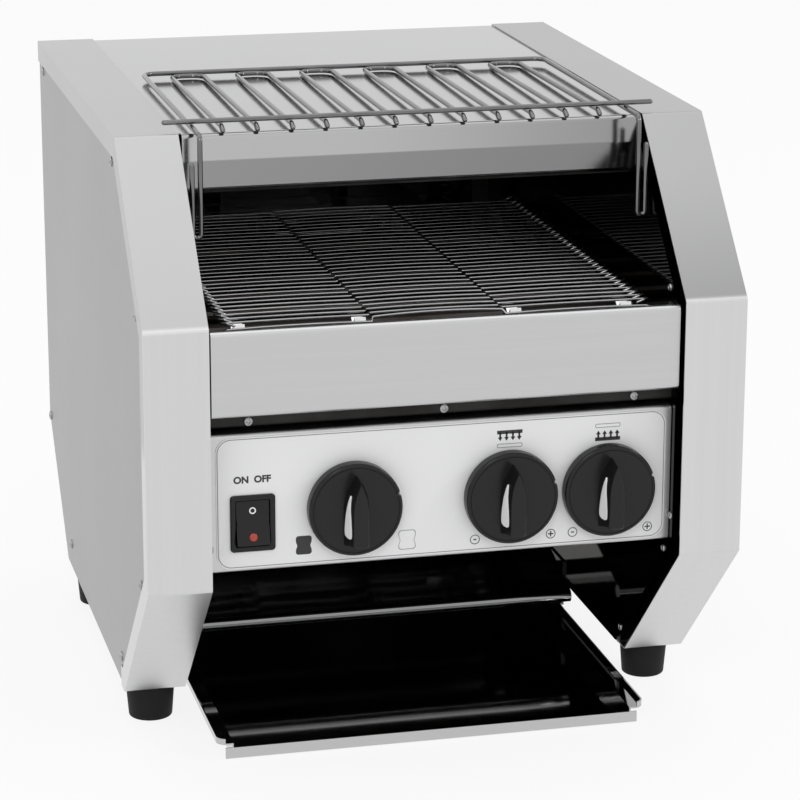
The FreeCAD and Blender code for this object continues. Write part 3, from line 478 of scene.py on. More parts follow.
def rounded_box_ring(half_width, half_height, radius, steps=6):
    """Outline of a rectangle with rounded corners, anticlockwise, as X and Z pairs.

    Each corner is a quarter circle of the radius round a point that far in from the corner.
    """
    angle = np.linspace(0.0, np.pi / 2, steps)
    turns = np.concatenate([angle + k * np.pi / 2 for k in range(4)])
    signs = np.repeat([[1, 1], [-1, 1], [-1, -1], [1, -1]], steps, axis=0)
    inner = np.array([half_width - radius, half_height - radius])
    return inner * signs + radius * np.stack([np.cos(turns), np.sin(turns)], -1)


def flat_print(name, outlines, y, material):
    """Printed marks as flat areas in the XZ plane, facing the front.

    An outline alone is filled by a fan of triangles round its middle; a pair of outlines
    becomes a ring of squares between both.
    """
    parts = []
    for outline in outlines:
        if isinstance(outline, tuple):
            points = np.insert(np.stack(outline), 1, y, axis=-1)
            parts.append((points, quads(2, len(outline[0]))))
            continue
        centre = outline.mean(axis=0, keepdims=True)
        points = np.insert(np.concatenate([centre, outline]), 1, y, axis=-1)
        count = len(outline)
        k = np.arange(count)
        fan = np.stack([np.zeros(count, int), k + 1, (k + 1) % count + 1], -1)
        parts.append((points, fan))
    points, faces = gathered(parts)
    thing = piece(name, points, faces, material, "housing", 10.0)
    face_front(thing.data)


def face_front(mesh):
    """Turns the faces of a flat print towards the front, -Y."""
    work = bmesh.new()
    work.from_mesh(mesh)
    work.normal_update()
    away = [face for face in work.faces if face.normal.y > 0]
    bmesh.ops.reverse_faces(work, faces=away)
    work.to_mesh(mesh)
    work.free()


def circle(x, z, radius, steps=28):
    """Points on a circle in the XZ plane."""
    angle = np.linspace(0.0, 2 * np.pi, steps, endpoint=False)
    return np.stack([x + radius * np.cos(angle), z + radius * np.sin(angle)], -1)


def bar(x0, z0, x1, z1, width):
    """A straight stroke of a width between two points, as four corners."""
    a, b = np.array([x0, z0], float), np.array([x1, z1], float)
    along = (b - a) / np.linalg.norm(b - a)
    side = np.array([-along[1], along[0]]) * width / 2
    return np.stack([a - side, b - side, b + side, a + side])


def bread(x, z, width, height, grow=0.0, steps=9):
    """Outline of a slice of bread: a rounded square below and two round lobes above.

    A rectangle with quarter circles at its corners is drawn in at its waist: each point's
    distance from the middle line shrinks by 0.17 * exp(-((height + 0.05 h) / (0.30 h)) ** 2).
    grow moves the outline outwards by a distance.
    """
    w, h = width / 2 + grow, height / 2 + grow
    soft = 0.36 * w
    turn = np.linspace(0.0, np.pi / 2, steps)
    upper = np.stack([w - soft + soft * np.cos(turn), h - soft + soft * np.sin(turn)], -1)
    lower = np.stack([w - soft + soft * np.sin(turn), -h + soft - soft * np.cos(turn)], -1)
    side = np.stack([np.full(steps, w), np.linspace(-h + soft, h - soft, steps + 2)[1:-1]], -1)
    right = np.concatenate([lower, side, upper])
    outline = np.concatenate([right, right[::-1] * np.array([-1, 1])])
    outline[:, 0] *= 1 - 0.17 * np.exp(-(((outline[:, 1] + 0.05 * h) / (0.30 * h)) ** 2))
    return outline + np.array([x, z])


def length_setting(name, description, default, **limits):
    """A setting in metres."""
    return FloatProperty(
        name=name, description=description, default=default, subtype="DISTANCE", precision=4, **limits
    )


def colour_setting(name, description, default):
    """A setting for a colour."""
    return FloatVectorProperty(
        name=name, description=description, default=default, subtype="COLOR", min=0, max=1
    )


def power_setting(name, description, default):
    """A setting for the power of a light."""
    return FloatProperty(name=name, description=description, default=default, min=0, unit="POWER")


class CasingSettings(bpy.types.PropertyGroup):
    """Colours of the sheets and the feet."""

    steel: colour_setting("Steel", "Colour of the brushed casing", (0.66, 0.66, 0.665))
    roughness: FloatProperty(
        name="Roughness", description="Roughness of the brushed casing", default=0.3, min=0.05, max=1
    )
    bright: colour_setting("Bright steel", "Colour of the tray's polished sheet", (0.52, 0.52, 0.525))
    # Dark as painted shade: the inner walls, brackets and runners take it at 0.7, the heat shield and
    # reflectors at 0.2.
    inside: colour_setting("Inside", "Colour of the sheet steel inside the mouth", (0.20, 0.197, 0.193))
    # Used only as cloud variation on the near-black heat shield and reflectors, which are painted shade.
    bloom: colour_setting("Heat bloom", "Tint that heat leaves on the steel", (0.050, 0.047, 0.044))
    foot: colour_setting("Feet", "Colour of the rubber feet", (0.009, 0.009, 0.0095))


class BeltSettings(bpy.types.PropertyGroup):
    """Sizes and colours of the wire belt and its wheels."""

    wire: length_setting("Wire", "Thickness of the belt's wire", 0.0016, min=0.0008, max=0.003)
    seat: length_setting("Seat", "Gap between the wheels' teeth and the wires", 0.0003)
    teeth: IntProperty(
        name="Wires round a wheel", description="Wires round a full turn", default=16, min=8, max=32
    )
    loop_inner: length_setting("Loop start", "Where the edge loops start, from the middle", 0.1302)
    loop_outer: length_setting("Loop end", "Where the edge loops end, from the middle", 0.1336)
    loop_rise: length_setting("Loop rise", "How far the edge loops stand over the rows", 0.0017)
    bow: length_setting("Bow", "How far the middle of each wire leads its ends", 0.0022)
    hook: length_setting("Hook", "Where each wire's hook ends, from the middle", 0.1252)
    joint_outer: length_setting("Step start", "Where the wire steps to the next row", 0.0418)
    joint_inner: length_setting("Step end", "Where the step ends", 0.0404)
    colour: colour_setting("Wire colour", "Colour of the belt's wire", (0.40, 0.40, 0.405))
    tooth: colour_setting("Wheel colour", "Colour of the toothed wheels", (0.8, 0.8, 0.8))


class KnobSettings(bpy.types.PropertyGroup):
    """Sizes and colours of the knobs."""

    skirt: length_setting("Skirt", "Height of the round skirt", 0.008)
    edge: length_setting("Edge", "Rounding of the skirt's rim", 0.0016)
    grip_width: length_setting("Grip width", "Width of the grip at the skirt", 0.0165)
    grip_top_width: length_setting("Grip top width", "Width of the grip's front face", 0.0095)
    grip_length: length_setting("Grip length", "Length of the grip at the skirt", 0.0445)
    grip_top_length: length_setting("Grip top length", "Length of the grip's front face", 0.040)
    colour: colour_setting("Plastic", "Colour of the knobs", (0.008, 0.008, 0.0084))
    pointer: colour_setting("Pointer", "Colour of the pointer", (0.85, 0.85, 0.85))


class PanelSettings(bpy.types.PropertyGroup):
    """Colours and words of the panel and its switch."""

    film: colour_setting("Film", "Colour of the panel's printed film", (0.84, 0.84, 0.845))
    dark: colour_setting("Dark ink", "Colour of the dark marks", (0.025, 0.025, 0.025))
    grey: colour_setting("Grey ink", "Colour of the thin grey marks", (0.22, 0.22, 0.22))
    words: StringProperty(name="Switch words", description="Words over the switch", default="ON  OFF")
    word_height: length_setting("Word height", "Height of the letters", 0.0058)
    lamp: colour_setting("Lamp", "Colour of the switch's lens", (0.36, 0.030, 0.014))


class RackSettings(bpy.types.PropertyGroup):
    """Sizes and colour of the wire rack."""

    wire: length_setting("Wire radius", "Radius of the rack's wires", 0.0016)
    corner: length_setting("Corner", "Bend radius at the rack's corners", 0.008)
    leg_bend: length_setting("Leg bend", "Bend radius at the top of each leg", 0.004)
    tip: length_setting("Tip", "How far each hairpin's bent tip reaches forwards", 0.0045)
    tip_drop: length_setting("Tip drop", "How far the tip bends down", 0.0020)
    leg_return: length_setting("Leg return", "Length of the wire that turns back up", 0.044)
    colour: colour_setting("Wire colour", "Colour of the rack's wires", (0.19, 0.19, 0.194))


class StudioSettings(bpy.types.PropertyGroup):
    """Powers of the lights, strength of the surround and the camera's lens."""

    key: power_setting("Key light", "Power of the front light", 7.0)
    top: power_setting("Top light", "Power of the light above", 7.5)
    right: power_setting("Right light", "Power of the light from the right", 6.0)
    side: power_setting("Side light", "Power of the light from the left", 2.0)
    surround: FloatProperty(
        name="Surround", description="Strength of the pale surround", default=0.75, min=0
    )
    lens: FloatProperty(
        name="Lens", description="Focal length", default=139.85, min=10, unit="CAMERA"
    )


class TOASTER_OT_casing(bpy.types.Operator):
    """Gives the folded sheets of the casing their brushed, bright or oxidised steel, with painted light
    and shade in their tones.
    """

    bl_idname = "toaster.casing"
    bl_label = "Casing"

    def execute(self, context):
        look = context.scene.toaster_casing
        steel = tuple(look.steel)
        front_y = span("cheek_cover_left")[0][1]
        rear_y = span("rear_panel")[1][1]
        cover_low, cover_high = span("top_cover")
        lip_height = 0.0195
        fold_z = cover_low[2] + lip_height
        # Ranges over which painted light and shade set in on the cheeks, the top cover and the rear
        # panel.
        behind_front = ("Y", front_y + 0.0005, front_y + 0.003)
        above_knee = ("Z", 0.20, 0.22)
        down_slope = ("Z", 0.36, 0.26)
        apron = ("Z", cover_high[2] - 0.001, cover_high[2] - 0.002)
        apron_right = ("X", -0.06, 0.16)
        lip = ("Z", fold_z + 0.0006, fold_z - 0.0006)
        lip_right = ("X", -0.16, 0.16)
        rear_inner_face = ("Y", rear_y - 0.0005, rear_y - 0.0008)
        above_chamfer = ("Z", 0.112, 0.118)
        # The casing's one steel is made in copies of other tones, by where each sheet faces: painted
        # light and shade.
        across = brushed("steel_across", shade(steel, 0.87), look.roughness, "X")
        # Top cover: darker overall, as painted shade; its apron lighter, as painted reflection, less so
        # on the right; its lip darker, most on the right, as painted shade.
        top = brushed("steel_top", shade(steel, 0.575), 0.13, "X", (
            (1.25, (apron,)), (0.80, (apron_right, apron)), (0.76, (lip,)), (0.60, (lip_right, lip)),
        ))
        # Rear panel: its inner face above the chamfer is made nearly black, as painted shade.
        rear = brushed("steel_rear", shade(steel, 0.87), look.roughness, "X", (
            (0.12, (rear_inner_face, above_chamfer)),
        ))
        # Cheeks: their slopes behind the front are darker, as painted shade; the right cheek more so, and
        # most on its lower slope.
        left = brushed("steel_cheek_left", steel, look.roughness, "Z", (
            (0.68, (behind_front, above_knee)),
        ))
        right = brushed("steel_cheek_right", steel, look.roughness, "Z", (
            (0.58, (behind_front, above_knee)), (0.45, (behind_front, above_knee, down_slope)),
        ))
        # Side panels: about half the cheeks' tone, as painted shade on the sides.
        lengthways = brushed("steel_lengthways", shade(steel, 0.49), look.roughness + 0.04, "Y")
        # Inner walls, chute brackets and tray runners: a dark steel with dimmed edge gloss, as painted
        # shade inside the mouth.
        dark = mirror_steel("steel_inside_painted_shade", shade(look.inside, 0.7), (0.4, 0.4, 0.4, 1.0))
        # Heat shield and reflectors: nearly black, as painted shade; the bloom only varies it in clouds.
        shadow = oxidised("steel_deep_painted_shade", shade(look.inside, 0.2), shade(look.bloom, 0.5), 0.5)
        use("cheek_cover_left", left)
        use("cheek_cover_right", right)
        use("side_panel_left side_panel_right", lengthways)
        use("base_channel_left base_channel_right front_fascia control_panel", across)
        use("top_cover", top)
        use("rear_panel", rear)
        use("collection_tray", mirror_steel("steel_bright", tuple(look.bright)))
        # Chute: the tray's bright steel at half its tone, as painted shade under the panel.
        use("toast_chute", mirror_steel("steel_slide_painted_shade", shade(look.bright, 0.5)))
        use("heat_shield upper_reflector lower_reflector", shadow)
        use("inner_wall_left inner_wall_right chute_brackets tray_runners", dark)
        return {"FINISHED"}


class TOASTER_OT_inside(bpy.types.Operator):
    """Gives the heaters, holders, bearings, gearmotor and regulators their finishes."""

    bl_idname = "toaster.inside"
    bl_label = "Inside"

    def execute(self, context):
        look = context.scene.toaster_belt
        bronze = oxidised("bearing_bronze", (0.14, 0.11, 0.08), (0.08, 0.065, 0.05), 0.4)
        sheath = oxidised("heater_sheath", (0.09, 0.085, 0.08), (0.05, 0.04, 0.035), 0.42)
        bright = drawn_wire("wheel_steel", tuple(look.tooth), 0.22)
        use("upper_heaters lower_heaters drive_wheels drive_shaft", sheath)
        use("heater_holders", painted("holder_enamel", (0.10, 0.10, 0.10), 0.6))
        use("shaft_bearings", bronze)
        use("gearmotor", painted("motor_paint", (0.05, 0.05, 0.055), 0.4))
        use("regulators", moulded("regulator_plastic", (0.42, 0.40, 0.36), 0.5))
        use("front_wheels front_shaft spindle_speed spindle_upper_heat spindle_lower_heat", bright)
        return {"FINISHED"}


class TOASTER_OT_belt(bpy.types.Operator):
    """Makes the belt of round wires, hooked together at both edges."""

    bl_idname = "toaster.belt"
    bl_label = "Wire belt"

    def execute(self, context):
        size = context.scene.toaster_belt
        front_axis = middle("front_shaft")[1]
        rear_axis = middle("drive_shaft")[1]
        height = middle("front_shaft")[2]
        wheel_low, wheel_high = span("front_wheels")
        radius = (wheel_high[2] - wheel_low[2]) / 2 + size.wire / 2 + size.seat
        pitch = 2 * np.pi * radius / size.teeth
        strand = self.strand(size, pitch)
        half_turn = size.teeth // 2
        run = int(round((rear_axis - front_axis) / pitch))
        places = np.arange(run)
        turns = np.arange(half_turn) * 2 * np.pi / size.teeth
        angle = np.concatenate([np.zeros(run), np.full(run, np.pi), turns, np.pi + turns])
        shift = np.concatenate([
            front_axis + places * pitch,
            rear_axis - places * pitch,
            np.full(half_turn, rear_axis),
            np.full(half_turn, front_axis),
        ])
        points, faces = self.laid(strand, angle, shift, radius, height)
        wire = drawn_wire("belt_wire", tuple(size.colour), 0.24)
        belt = piece("belt_of_wires", points, faces, wire, "housing", 180.0)
        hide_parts("wire_belt")
        return {"FINISHED"}

    def strand(self, size, pitch):
        """One wire, flat: a middle row half a pitch ahead, steps, rows, edge loops and hooks.

        The middle row leads by bow * (1 - (x / half its width) ** 2), and each side row by
        2 * bow * s * (1 - s) at a share s of its length.
        """
        hook_clearance = 0.0003
        hook = pitch - size.wire - hook_clearance
        right = [
            (size.joint_inner, pitch / 2, 0.0),
            (size.joint_outer, 0.0, 0.0),
            (size.loop_inner, 0.0, 0.0),
            (size.loop_outer, -0.45 * pitch, size.loop_rise),
            (size.loop_inner - 0.001, -0.85 * pitch, size.loop_rise),
            (size.hook, -hook, 0.0),
        ]
        left = [(-x, y, z) for x, y, z in right[::-1]]
        bends = [0.001, 0.0022, 0.0014, 0.0009, 0.0009]
        path = filleted(np.array(left + right), bends + bends[::-1], 4)
        row = size.joint_inner
        x = np.linspace(-0.93 * row, 0.93 * row, 9)
        middle_row = np.stack([x, pitch / 2 + size.bow * (1 - (x / row) ** 2), 0 * x], -1)
        s = np.linspace(0.06, 0.94, 6)
        side_x = size.joint_outer + (size.loop_inner - size.joint_outer) * s
        right_row = np.stack([side_x, 2 * size.bow * s * (1 - s), 0 * s], -1)
        left_row = right_row[::-1] * np.array([-1, 1, 1])
        edge = np.searchsorted(path[:, 0], -size.joint_outer - 0.004)
        centre = np.searchsorted(path[:, 0], 0.0)
        left_loop, left_step, right_step, right_loop = np.split(path, [edge, centre, len(path) - edge])
        path = np.concatenate([
            left_loop, left_row, left_step, middle_row, right_step, right_row, right_loop,
        ])
        return tube(path, size.wire / 2, 7, (0.0, 0.0, 1.0))

    def laid(self, strand, angle, shift, radius, height):
        """Copies of the wire round the loop: lifted by the radius, then turned about X.

        For an angle a and a shift s, a point (x, y, z) goes to
        (x, s + y cos a + (z + radius) sin a, height - y sin a + (z + radius) cos a).
        """
        points, faces = strand
        flat = points.reshape(-1, 3)
        y = flat[:, 1]
        z = flat[:, 2] + radius
        cos, sin = np.cos(angle)[:, None], np.sin(angle)[:, None]
        copies = np.stack([
            np.repeat(flat[None, :, 0], len(angle), 0),
            shift[:, None] + y * cos + z * sin,
            height - y * sin + z * cos,
        ], -1)
        first = np.arange(len(angle))[:, None, None] * len(flat)
        return copies, (faces[None] + first).reshape(-1, 4)


class TOASTER_OT_knobs(bpy.types.Operator):
    """Makes the three knobs: a round skirt, a pointed grip and a white pointer."""

    bl_idname = "toaster.knobs"
    bl_label = "Knobs"

    def execute(self, context):
        size = context.scene.toaster_knobs
        plastic = moulded("knob_plastic", tuple(size.colour), 0.24, 1300.0, 0.000010)
        white = ink("pointer_paint", tuple(size.pointer), 0.4)
        for name in ("speed", "upper_heat", "lower_heat"):
            low, high = span("knob_" + name)
            centre = middle("knob_" + name)
            centre[1] = high[1]
            radius = (high[0] - low[0]) / 2
            reach = high[1] - low[1]
            body = name + "_knob"
            points, faces = gathered([self.skirt(size, radius), self.grip(size, reach)])
            knob = piece(
                "knob_body_" + name, centre + points, faces, plastic, body, 32.0
            )
            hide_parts("knob_" + name)
            mark, mark_faces = self.pointer(size, reach)
            piece("pointer_" + name, centre + mark, mark_faces, white, body, 50.0)
        return {"FINISHED"}

    def skirt(self, size, radius):
        """Turned skirt facing -Y: flat back, rounded rim, a fine groove and a slightly dished face.

        A small notch is drawn into the rim on the right, 17 degrees above level: there the
        radius shrinks by 1.3 mm times exp(-(angle from the notch / 2.2 degrees) ** 4).
        """
        notch_angle, notch_width, notch_depth = 17.0, 2.2, 0.0013
        t = np.linspace(0.0, np.pi / 2, 6)
        rim = np.stack([
            radius - size.edge + size.edge * np.cos(t),
            size.skirt - size.edge + size.edge * np.sin(t),
        ], -1)
        face = np.array([
            [radius - 0.0019, size.skirt],
            [radius - 0.0021, size.skirt - 0.0004],
            [radius - 0.0026, size.skirt - 0.0004],
            [radius - 0.0028, size.skirt],
            [radius - 0.0100, size.skirt - 0.0003],
            [0.010, size.skirt - 0.0005],
            [0.0, size.skirt - 0.0005],
        ])
        chamfer = 0.0004
        back = [[0.0, 0.0], [radius - chamfer, 0.0], [radius, chamfer]]
        profile = np.concatenate([back, rim, face])
        points, faces = turned(profile, 180)
        x, y, z = points[..., 0], points[..., 1], points[..., 2]
        away = np.degrees(np.arctan2(y, x)) - notch_angle
        on_rim = np.hypot(x, y) > radius - 0.0022
        pull = notch_depth * np.exp(-((away / notch_width) ** 4)) * on_rim
        shrink = 1 - pull / radius
        return np.stack([x * shrink, -z, y * shrink], -1), faces

    def outline(self, width, length, inset, count=14):
        """Pointed arch: flat foot with soft corners, straight sides, and two arcs that meet above.

        The arcs have the radius (rise^2 + w^2) / 2w, so they leave the sides without a kink.
        """
        w, half = width / 2 - inset, length / 2 - inset
        rise = 0.98 * half
        radius = (rise ** 2 + w ** 2) / (2 * w)
        t = np.linspace(0.0, np.arcsin(rise / radius) * 0.985, count)
        right = np.stack([w - radius + radius * np.cos(t), half - rise + radius * np.sin(t)], -1)
        soft = min(w * 0.35, 0.0016)
        q = np.linspace(-np.pi / 2, 0, 5)
        foot = np.stack([w - soft + soft * np.cos(q), -half + soft + soft * np.sin(q)], -1)
        side = np.linspace(foot[-1], right[0], 5)[1:-1]
        one = np.concatenate([foot, side, right])
        return np.concatenate([one, one[::-1] * np.array([-1, 1])])

    def grip(self, size, reach):
        """The grip, lofted: each level is a pointed arch, narrowing towards the front.

        The flanks are hollowed by 0.5 mm at mid height, and the last levels follow a quarter
        circle of 1.1 mm, which rounds the front edge. The front face is closed level.
        """
        edge, deepest, sunk = 0.0011, 0.0005, 0.0012
        rise = reach - edge
        start = size.skirt - sunk
        levels, rings = [], []
        for share in np.linspace(0.0, 1.0, 8):
            hollow = deepest * np.sin(np.pi * share)
            width = size.grip_width + (size.grip_top_width - size.grip_width) * share ** 0.8
            length = size.grip_length + (size.grip_top_length - size.grip_length) * share
            rings.append(self.outline(width, length, hollow))
            levels.append(start + (rise - start) * share)
        for t in np.linspace(0.0, np.pi / 2, 6)[1:]:
            inset = edge * (1 - np.cos(t))
            rings.append(self.outline(size.grip_top_width, size.grip_top_length, inset))
            levels.append(rise + edge * np.sin(t))
        last = rings[-1]
        for across, along in ((0.6, 0.7), (0.2, 0.4), (0.0, 0.4)):
            rings.append(last * np.array([across, along]))
            levels.append(reach)
        points = np.insert(np.stack(rings), 1, 0.0, axis=-1)
        points[..., 1] = -np.array(levels)[:, None]
        return points, quads(len(rings), len(last))

    def pointer(self, size, reach):
        """White drop on the grip's left flank: widest near its foot, raised 0.32 mm.

        Its half width at a share s of its length, as a share of the flank, is
        0.33 * sin(pi s ** 0.36) ** 0.6. What it stands over the flank falls to nothing at its
        edge.
        """
        foot_z, mark_length, raised, thick = -0.0156, 0.0268, 0.00032, 0.0009
        arch_z, arch_length = -0.003, 0.0235
        middle_share, widest = 0.42, 0.33
        along, across = 26, 9
        s = np.linspace(0.0, 1.0, along)[:, None]
        u = np.linspace(-1.0, 1.0, across)[None, :]
        z = foot_z + mark_length * s + 0 * u
        half_width = widest * np.sin(np.pi * np.clip(s, 0.001, 0.999) ** 0.36) ** 0.6
        share = middle_share + u * half_width
        width = size.grip_width + (size.grip_top_width - size.grip_width) * share ** 0.8
        narrowing = np.clip((z - arch_z) / arch_length, 0.0, 1.0)
        side = width / 2 * np.sqrt(np.clip(1 - narrowing ** 2 * 0.92, 0.02, 1.0))
        over = np.sqrt(np.clip(1 - u ** 2, 0.0, 1.0)) * np.sin(np.pi * np.clip(s, 0.02, 0.98)) ** 0.3
        x = -(side - 0.0004 * np.sin(np.pi * share)) - raised * over
        y = -(size.skirt + (reach - size.skirt - 0.001) * share)
        outer = np.stack([x, y, z], -1)
        inner = outer + np.array([thick, 0.0, 0.0])
        ring = np.concatenate([outer, inner[:, ::-1]], axis=1)
        return ring, quads(along, 2 * across)


class TOASTER_OT_switch(bpy.types.Operator):
    """Makes the rocker switch: rounded frame, dished rocker, ring mark and red lens."""

    bl_idname = "toaster.switch"
    bl_label = "Rocker switch"

    def execute(self, context):
        look = context.scene.toaster_panel
        gloss = moulded("switch_plastic", (0.008, 0.008, 0.0085), 0.22, 600.0, 0.000008)
        low, high = span("switch_frame")
        centre = middle("switch_frame")[[0, 2]]
        width, height = (high[0] - low[0]) / 2, (high[2] - low[2]) / 2
        label_front = span("panel_label")[0][1]
        proud = label_front - low[1]
        inset = [0.0, 0.0, 0.0003, 0.0008, 0.0026, 0.0031, 0.0034, 0.0034]
        lift = [0.0, proud - 0.0006, proud - 0.0002, proud, proud, proud - 0.0003, proud - 0.0012, -0.006]
        sections = [(0.0018, -0.006, 0.0009), (0.0018, 0.0, 0.0009)]
        sections += [(far, rise, max(0.0022 - far * 0.4, 0.0009)) for far, rise in zip(inset, lift)]
        rings = []
        for far, rise, radius in sections:
            ring = rounded_box_ring(width - far, height - far, radius) + centre
            rings.append(np.insert(ring, 1, label_front - rise, axis=-1))
        grid = np.stack(rings)
        faces = quads(len(grid), grid.shape[1], round_rows=True)
        rim = piece("switch_rim", grid, faces, gloss, "housing", 35.0)
        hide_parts("switch_frame")
        self.rocker(look, gloss)
        return {"FINISHED"}

    def rocker(self, look, gloss):
        """The rocker's closed side outline carried across its width, with rounded ends.

        The outline is taken about the pivot: a front of two slopes that meet in a soft crest,
        tilted back at the top, and round ends that run in the frame. Near each end of the
        width it shrinks by a quarter circle, which rounds the side edges.
        """
        low, high = span("switch_rocker")
        tilt, edge = math.radians(9.0), 0.0007
        place = middle("switch_rocker")
        place[1] = span("panel_label")[0][1]
        half = (high[0] - low[0]) / 2
        reach = (high[2] - low[2]) / 2 - 0.0001
        slope = math.tan(tilt) * reach
        s = np.linspace(-1.0, 1.0, 25)
        dish = 0.0004 * np.abs(np.sin(np.pi * s))
        front_y = -0.0016 - (slope - 0.0016) * np.abs(s) ** 1.25 + dish
        front = np.stack([front_y, s * reach * 0.985], -1)
        back = [[0.0018, reach * 0.98], [0.009, 0.0045], [0.009, -0.0045], [0.0018, -reach * 0.98]]
        outline = np.concatenate([front, np.array(back)])
        turn = np.array([[math.cos(tilt), math.sin(tilt)], [-math.sin(tilt), math.cos(tilt)]])
        t = np.linspace(0.0, np.pi / 2, 5)
        stations = np.concatenate([-half + edge * (1 - np.cos(t)), half - edge * (1 - np.cos(t[::-1]))])
        shrink = np.concatenate([edge * (1 - np.sin(t)), edge * (1 - np.sin(t[::-1]))])
        inwards = outline - outline.mean(axis=0)
        inwards /= np.linalg.norm(inwards, axis=1, keepdims=True)
        grid = np.stack([
            np.insert((outline - inwards * less) @ turn.T, 0, x, axis=-1)
            for x, less in zip(stations, shrink)
        ])
        ends = np.repeat(grid[[0, -1]].mean(axis=1, keepdims=True), grid.shape[1], 1)
        grid = np.concatenate([ends[:1], grid, ends[1:]]) + place
        faces = quads(len(grid), grid.shape[1])
        rocker = piece("rocker_cap", grid, faces, gloss, "rocker", 40.0)
        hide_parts("switch_rocker")
        white = ink("switch_mark", (0.75, 0.75, 0.75), 0.4)
        red = lamp_lens("switch_lens", tuple(look.lamp))
        self.set_in(front, turn, place, 0.55 * reach, "switch_ring", white, ring=True)
        self.set_in(front, turn, place, -0.62 * reach, "switch_lens", red, ring=False)

    def set_in(self, front, turn, place, z, name, material, ring):
        """A round mark on the rocker's sloping face: a flat ring, or a low dome for the lens.

        A point at radius r and angle t lies at (r cos t, face, z + r sin t), where face is the
        rocker's front at that height, and then turns with the rocker.
        """
        steps = 36
        angle = np.linspace(0.0, 2 * np.pi, steps, endpoint=False)
        if ring:
            radii = np.array([0.0013, 0.0013, 0.0021, 0.0021])
            lift = np.array([0.0, 0.00008, 0.00008, 0.0])
        else:
            share = np.linspace(0.0, 1.0, 7)
            radii = 0.0024 * np.sin(share * np.pi / 2)
            lift = 0.0005 * np.cos(share * np.pi / 2)
        x = radii[:, None] * np.cos(angle)
        height = z + radii[:, None] * np.sin(angle)
        face = np.interp(height, front[:, 1], front[:, 0]) - lift[:, None]
        flat = np.stack([face, height], -1) @ turn.T
        points = np.concatenate([x[..., None], flat], -1) + place
        if ring:
            points[[0, 3]] += np.array([0.0, 0.0003, 0.0])
        faces = quads(len(radii), steps, round_rows=ring)
        piece(name, points, faces, material, "rocker", 60.0)


class TOASTER_OT_print(bpy.types.Operator):
    """Prints the panel: outline, bread marks, heat marks, minus and plus, and the words."""

    bl_idname = "toaster.print"
    bl_label = "Panel print"

    def execute(self, context):
        look = context.scene.toaster_panel
        use("panel_label", print_film("panel_film", tuple(look.film)))
        low, high = span("panel_label")
        ink_lift = 0.00006
        y = low[1] - ink_lift
        dark = ink("ink_dark", tuple(look.dark))
        grey = ink("ink_grey", tuple(look.grey))
        knobs = [middle("knob_" + name) for name in ("speed", "upper_heat", "lower_heat")]
        speed, upper, lower = (knob[0] for knob in knobs)
        z = knobs[0][2]
        centre = middle("panel_label")[[0, 2]]
        half = ((high - low) / 2)[[0, 2]]
        border = tuple(
            rounded_box_ring(*(half - inset), radius, 10) + centre
            for inset, radius in ((0.0007, 0.0085), (0.0012, 0.0080))
        )
        flat_print("print_frame", [border], y, grey)
        bread_z = z - 0.0225
        light_bread = (speed + 0.0335, bread_z - 0.0015, 0.0108, 0.0124)
        flat_print("print_dark_bread", [bread(speed - 0.0306, bread_z, 0.0098, 0.0118)], y, dark)
        flat_print("print_light_bread", [(bread(*light_bread), bread(*light_bread, -0.0004))], y, grey)
        sign_z = z - 0.0273
        signs = []
        for x in (upper, lower):
            signs += self.sign(x - 0.0213, sign_z, 0.0010, plus=False)
            signs += self.sign(x + 0.0269, sign_z, 0.0018, plus=True)
        flat_print("print_signs", signs, y, dark)
        heat_z = z + 0.0356
        flat_print("print_heat_above", self.heat(upper, heat_z, -1), y, dark)
        flat_print("print_heat_below", self.heat(lower, heat_z, 1), y, dark)
        slices = [self.slice_edge(upper, heat_z, -1), self.slice_edge(lower, heat_z, 1)]
        flat_print("print_slices", slices, y, grey)
        self.words(look, y, dark)
        return {"FINISHED"}

    def sign(self, x, z, arm, plus):
        """A minus or a plus in a ring; the plus leaves its middle to the level stroke."""
        stroke = 0.0008
        marks = [(circle(x, z, 0.0031), circle(x, z, 0.0026)), bar(x - arm, z, x + arm, z, stroke)]
        if plus:
            marks.append(bar(x, z + stroke / 2, x, z + arm, stroke))
            marks.append(bar(x, z - arm, x, z - stroke / 2, stroke))
        return marks

    def heat(self, x, z, way):
        """A bar with four arrows leaving it, downwards for -1 and upwards for 1."""
        foot, barb, tip = z - way * 0.0043, z - way * 0.0012, z + way * 0.0012
        marks = [bar(x - 0.008, foot, x + 0.008, foot, 0.0023)]
        for place in x + np.array([-0.0060, -0.0020, 0.0020, 0.0060]):
            marks.append(bar(place, foot, place, tip - way * 0.0016, 0.0012))
            marks.append(np.array([(place - 0.0015, barb), (place + 0.0015, barb), (place, tip)]))
        return marks

    def slice_edge(self, x, z, way):
        """A thin outline of a slice seen from its edge, beside the arrows."""
        centre = np.array([x, z + way * 0.0042])
        return tuple(
            rounded_box_ring(width, height, radius, 5) + centre
            for width, height, radius in ((0.0080, 0.0013, 0.0009), (0.0076, 0.0009, 0.0006))
        )

    def words(self, look, y, material):
        """The words over the switch, as flat letters set into the XZ plane."""
        boldness, gap = 0.045, 0.0093
        curve = bpy.data.curves.new("switch_words", "FONT")
        curve.body = look.words
        curve.size = look.word_height
        curve.align_x = "CENTER"
        curve.align_y = "CENTER"
        curve.offset = look.word_height * boldness
        holder = placed("switch_words_curve", curve)
        bpy.context.view_layer.update()
        graph = bpy.context.evaluated_depsgraph_get()
        mesh = bpy.data.meshes.new_from_object(holder.evaluated_get(graph))
        bpy.data.objects.remove(holder)
        centre = middle("switch_frame")
        top = span("switch_frame")[1][2]
        upright = Matrix.Rotation(math.pi / 2, 4, "X")
        mesh.transform(Matrix.Translation((centre[0], y, top + gap)) @ upright)
        thing = placed("switch_words", mesh)
        mesh.materials.clear()
        mesh.materials.append(material)
        face_front(mesh)
        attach(thing, "housing")


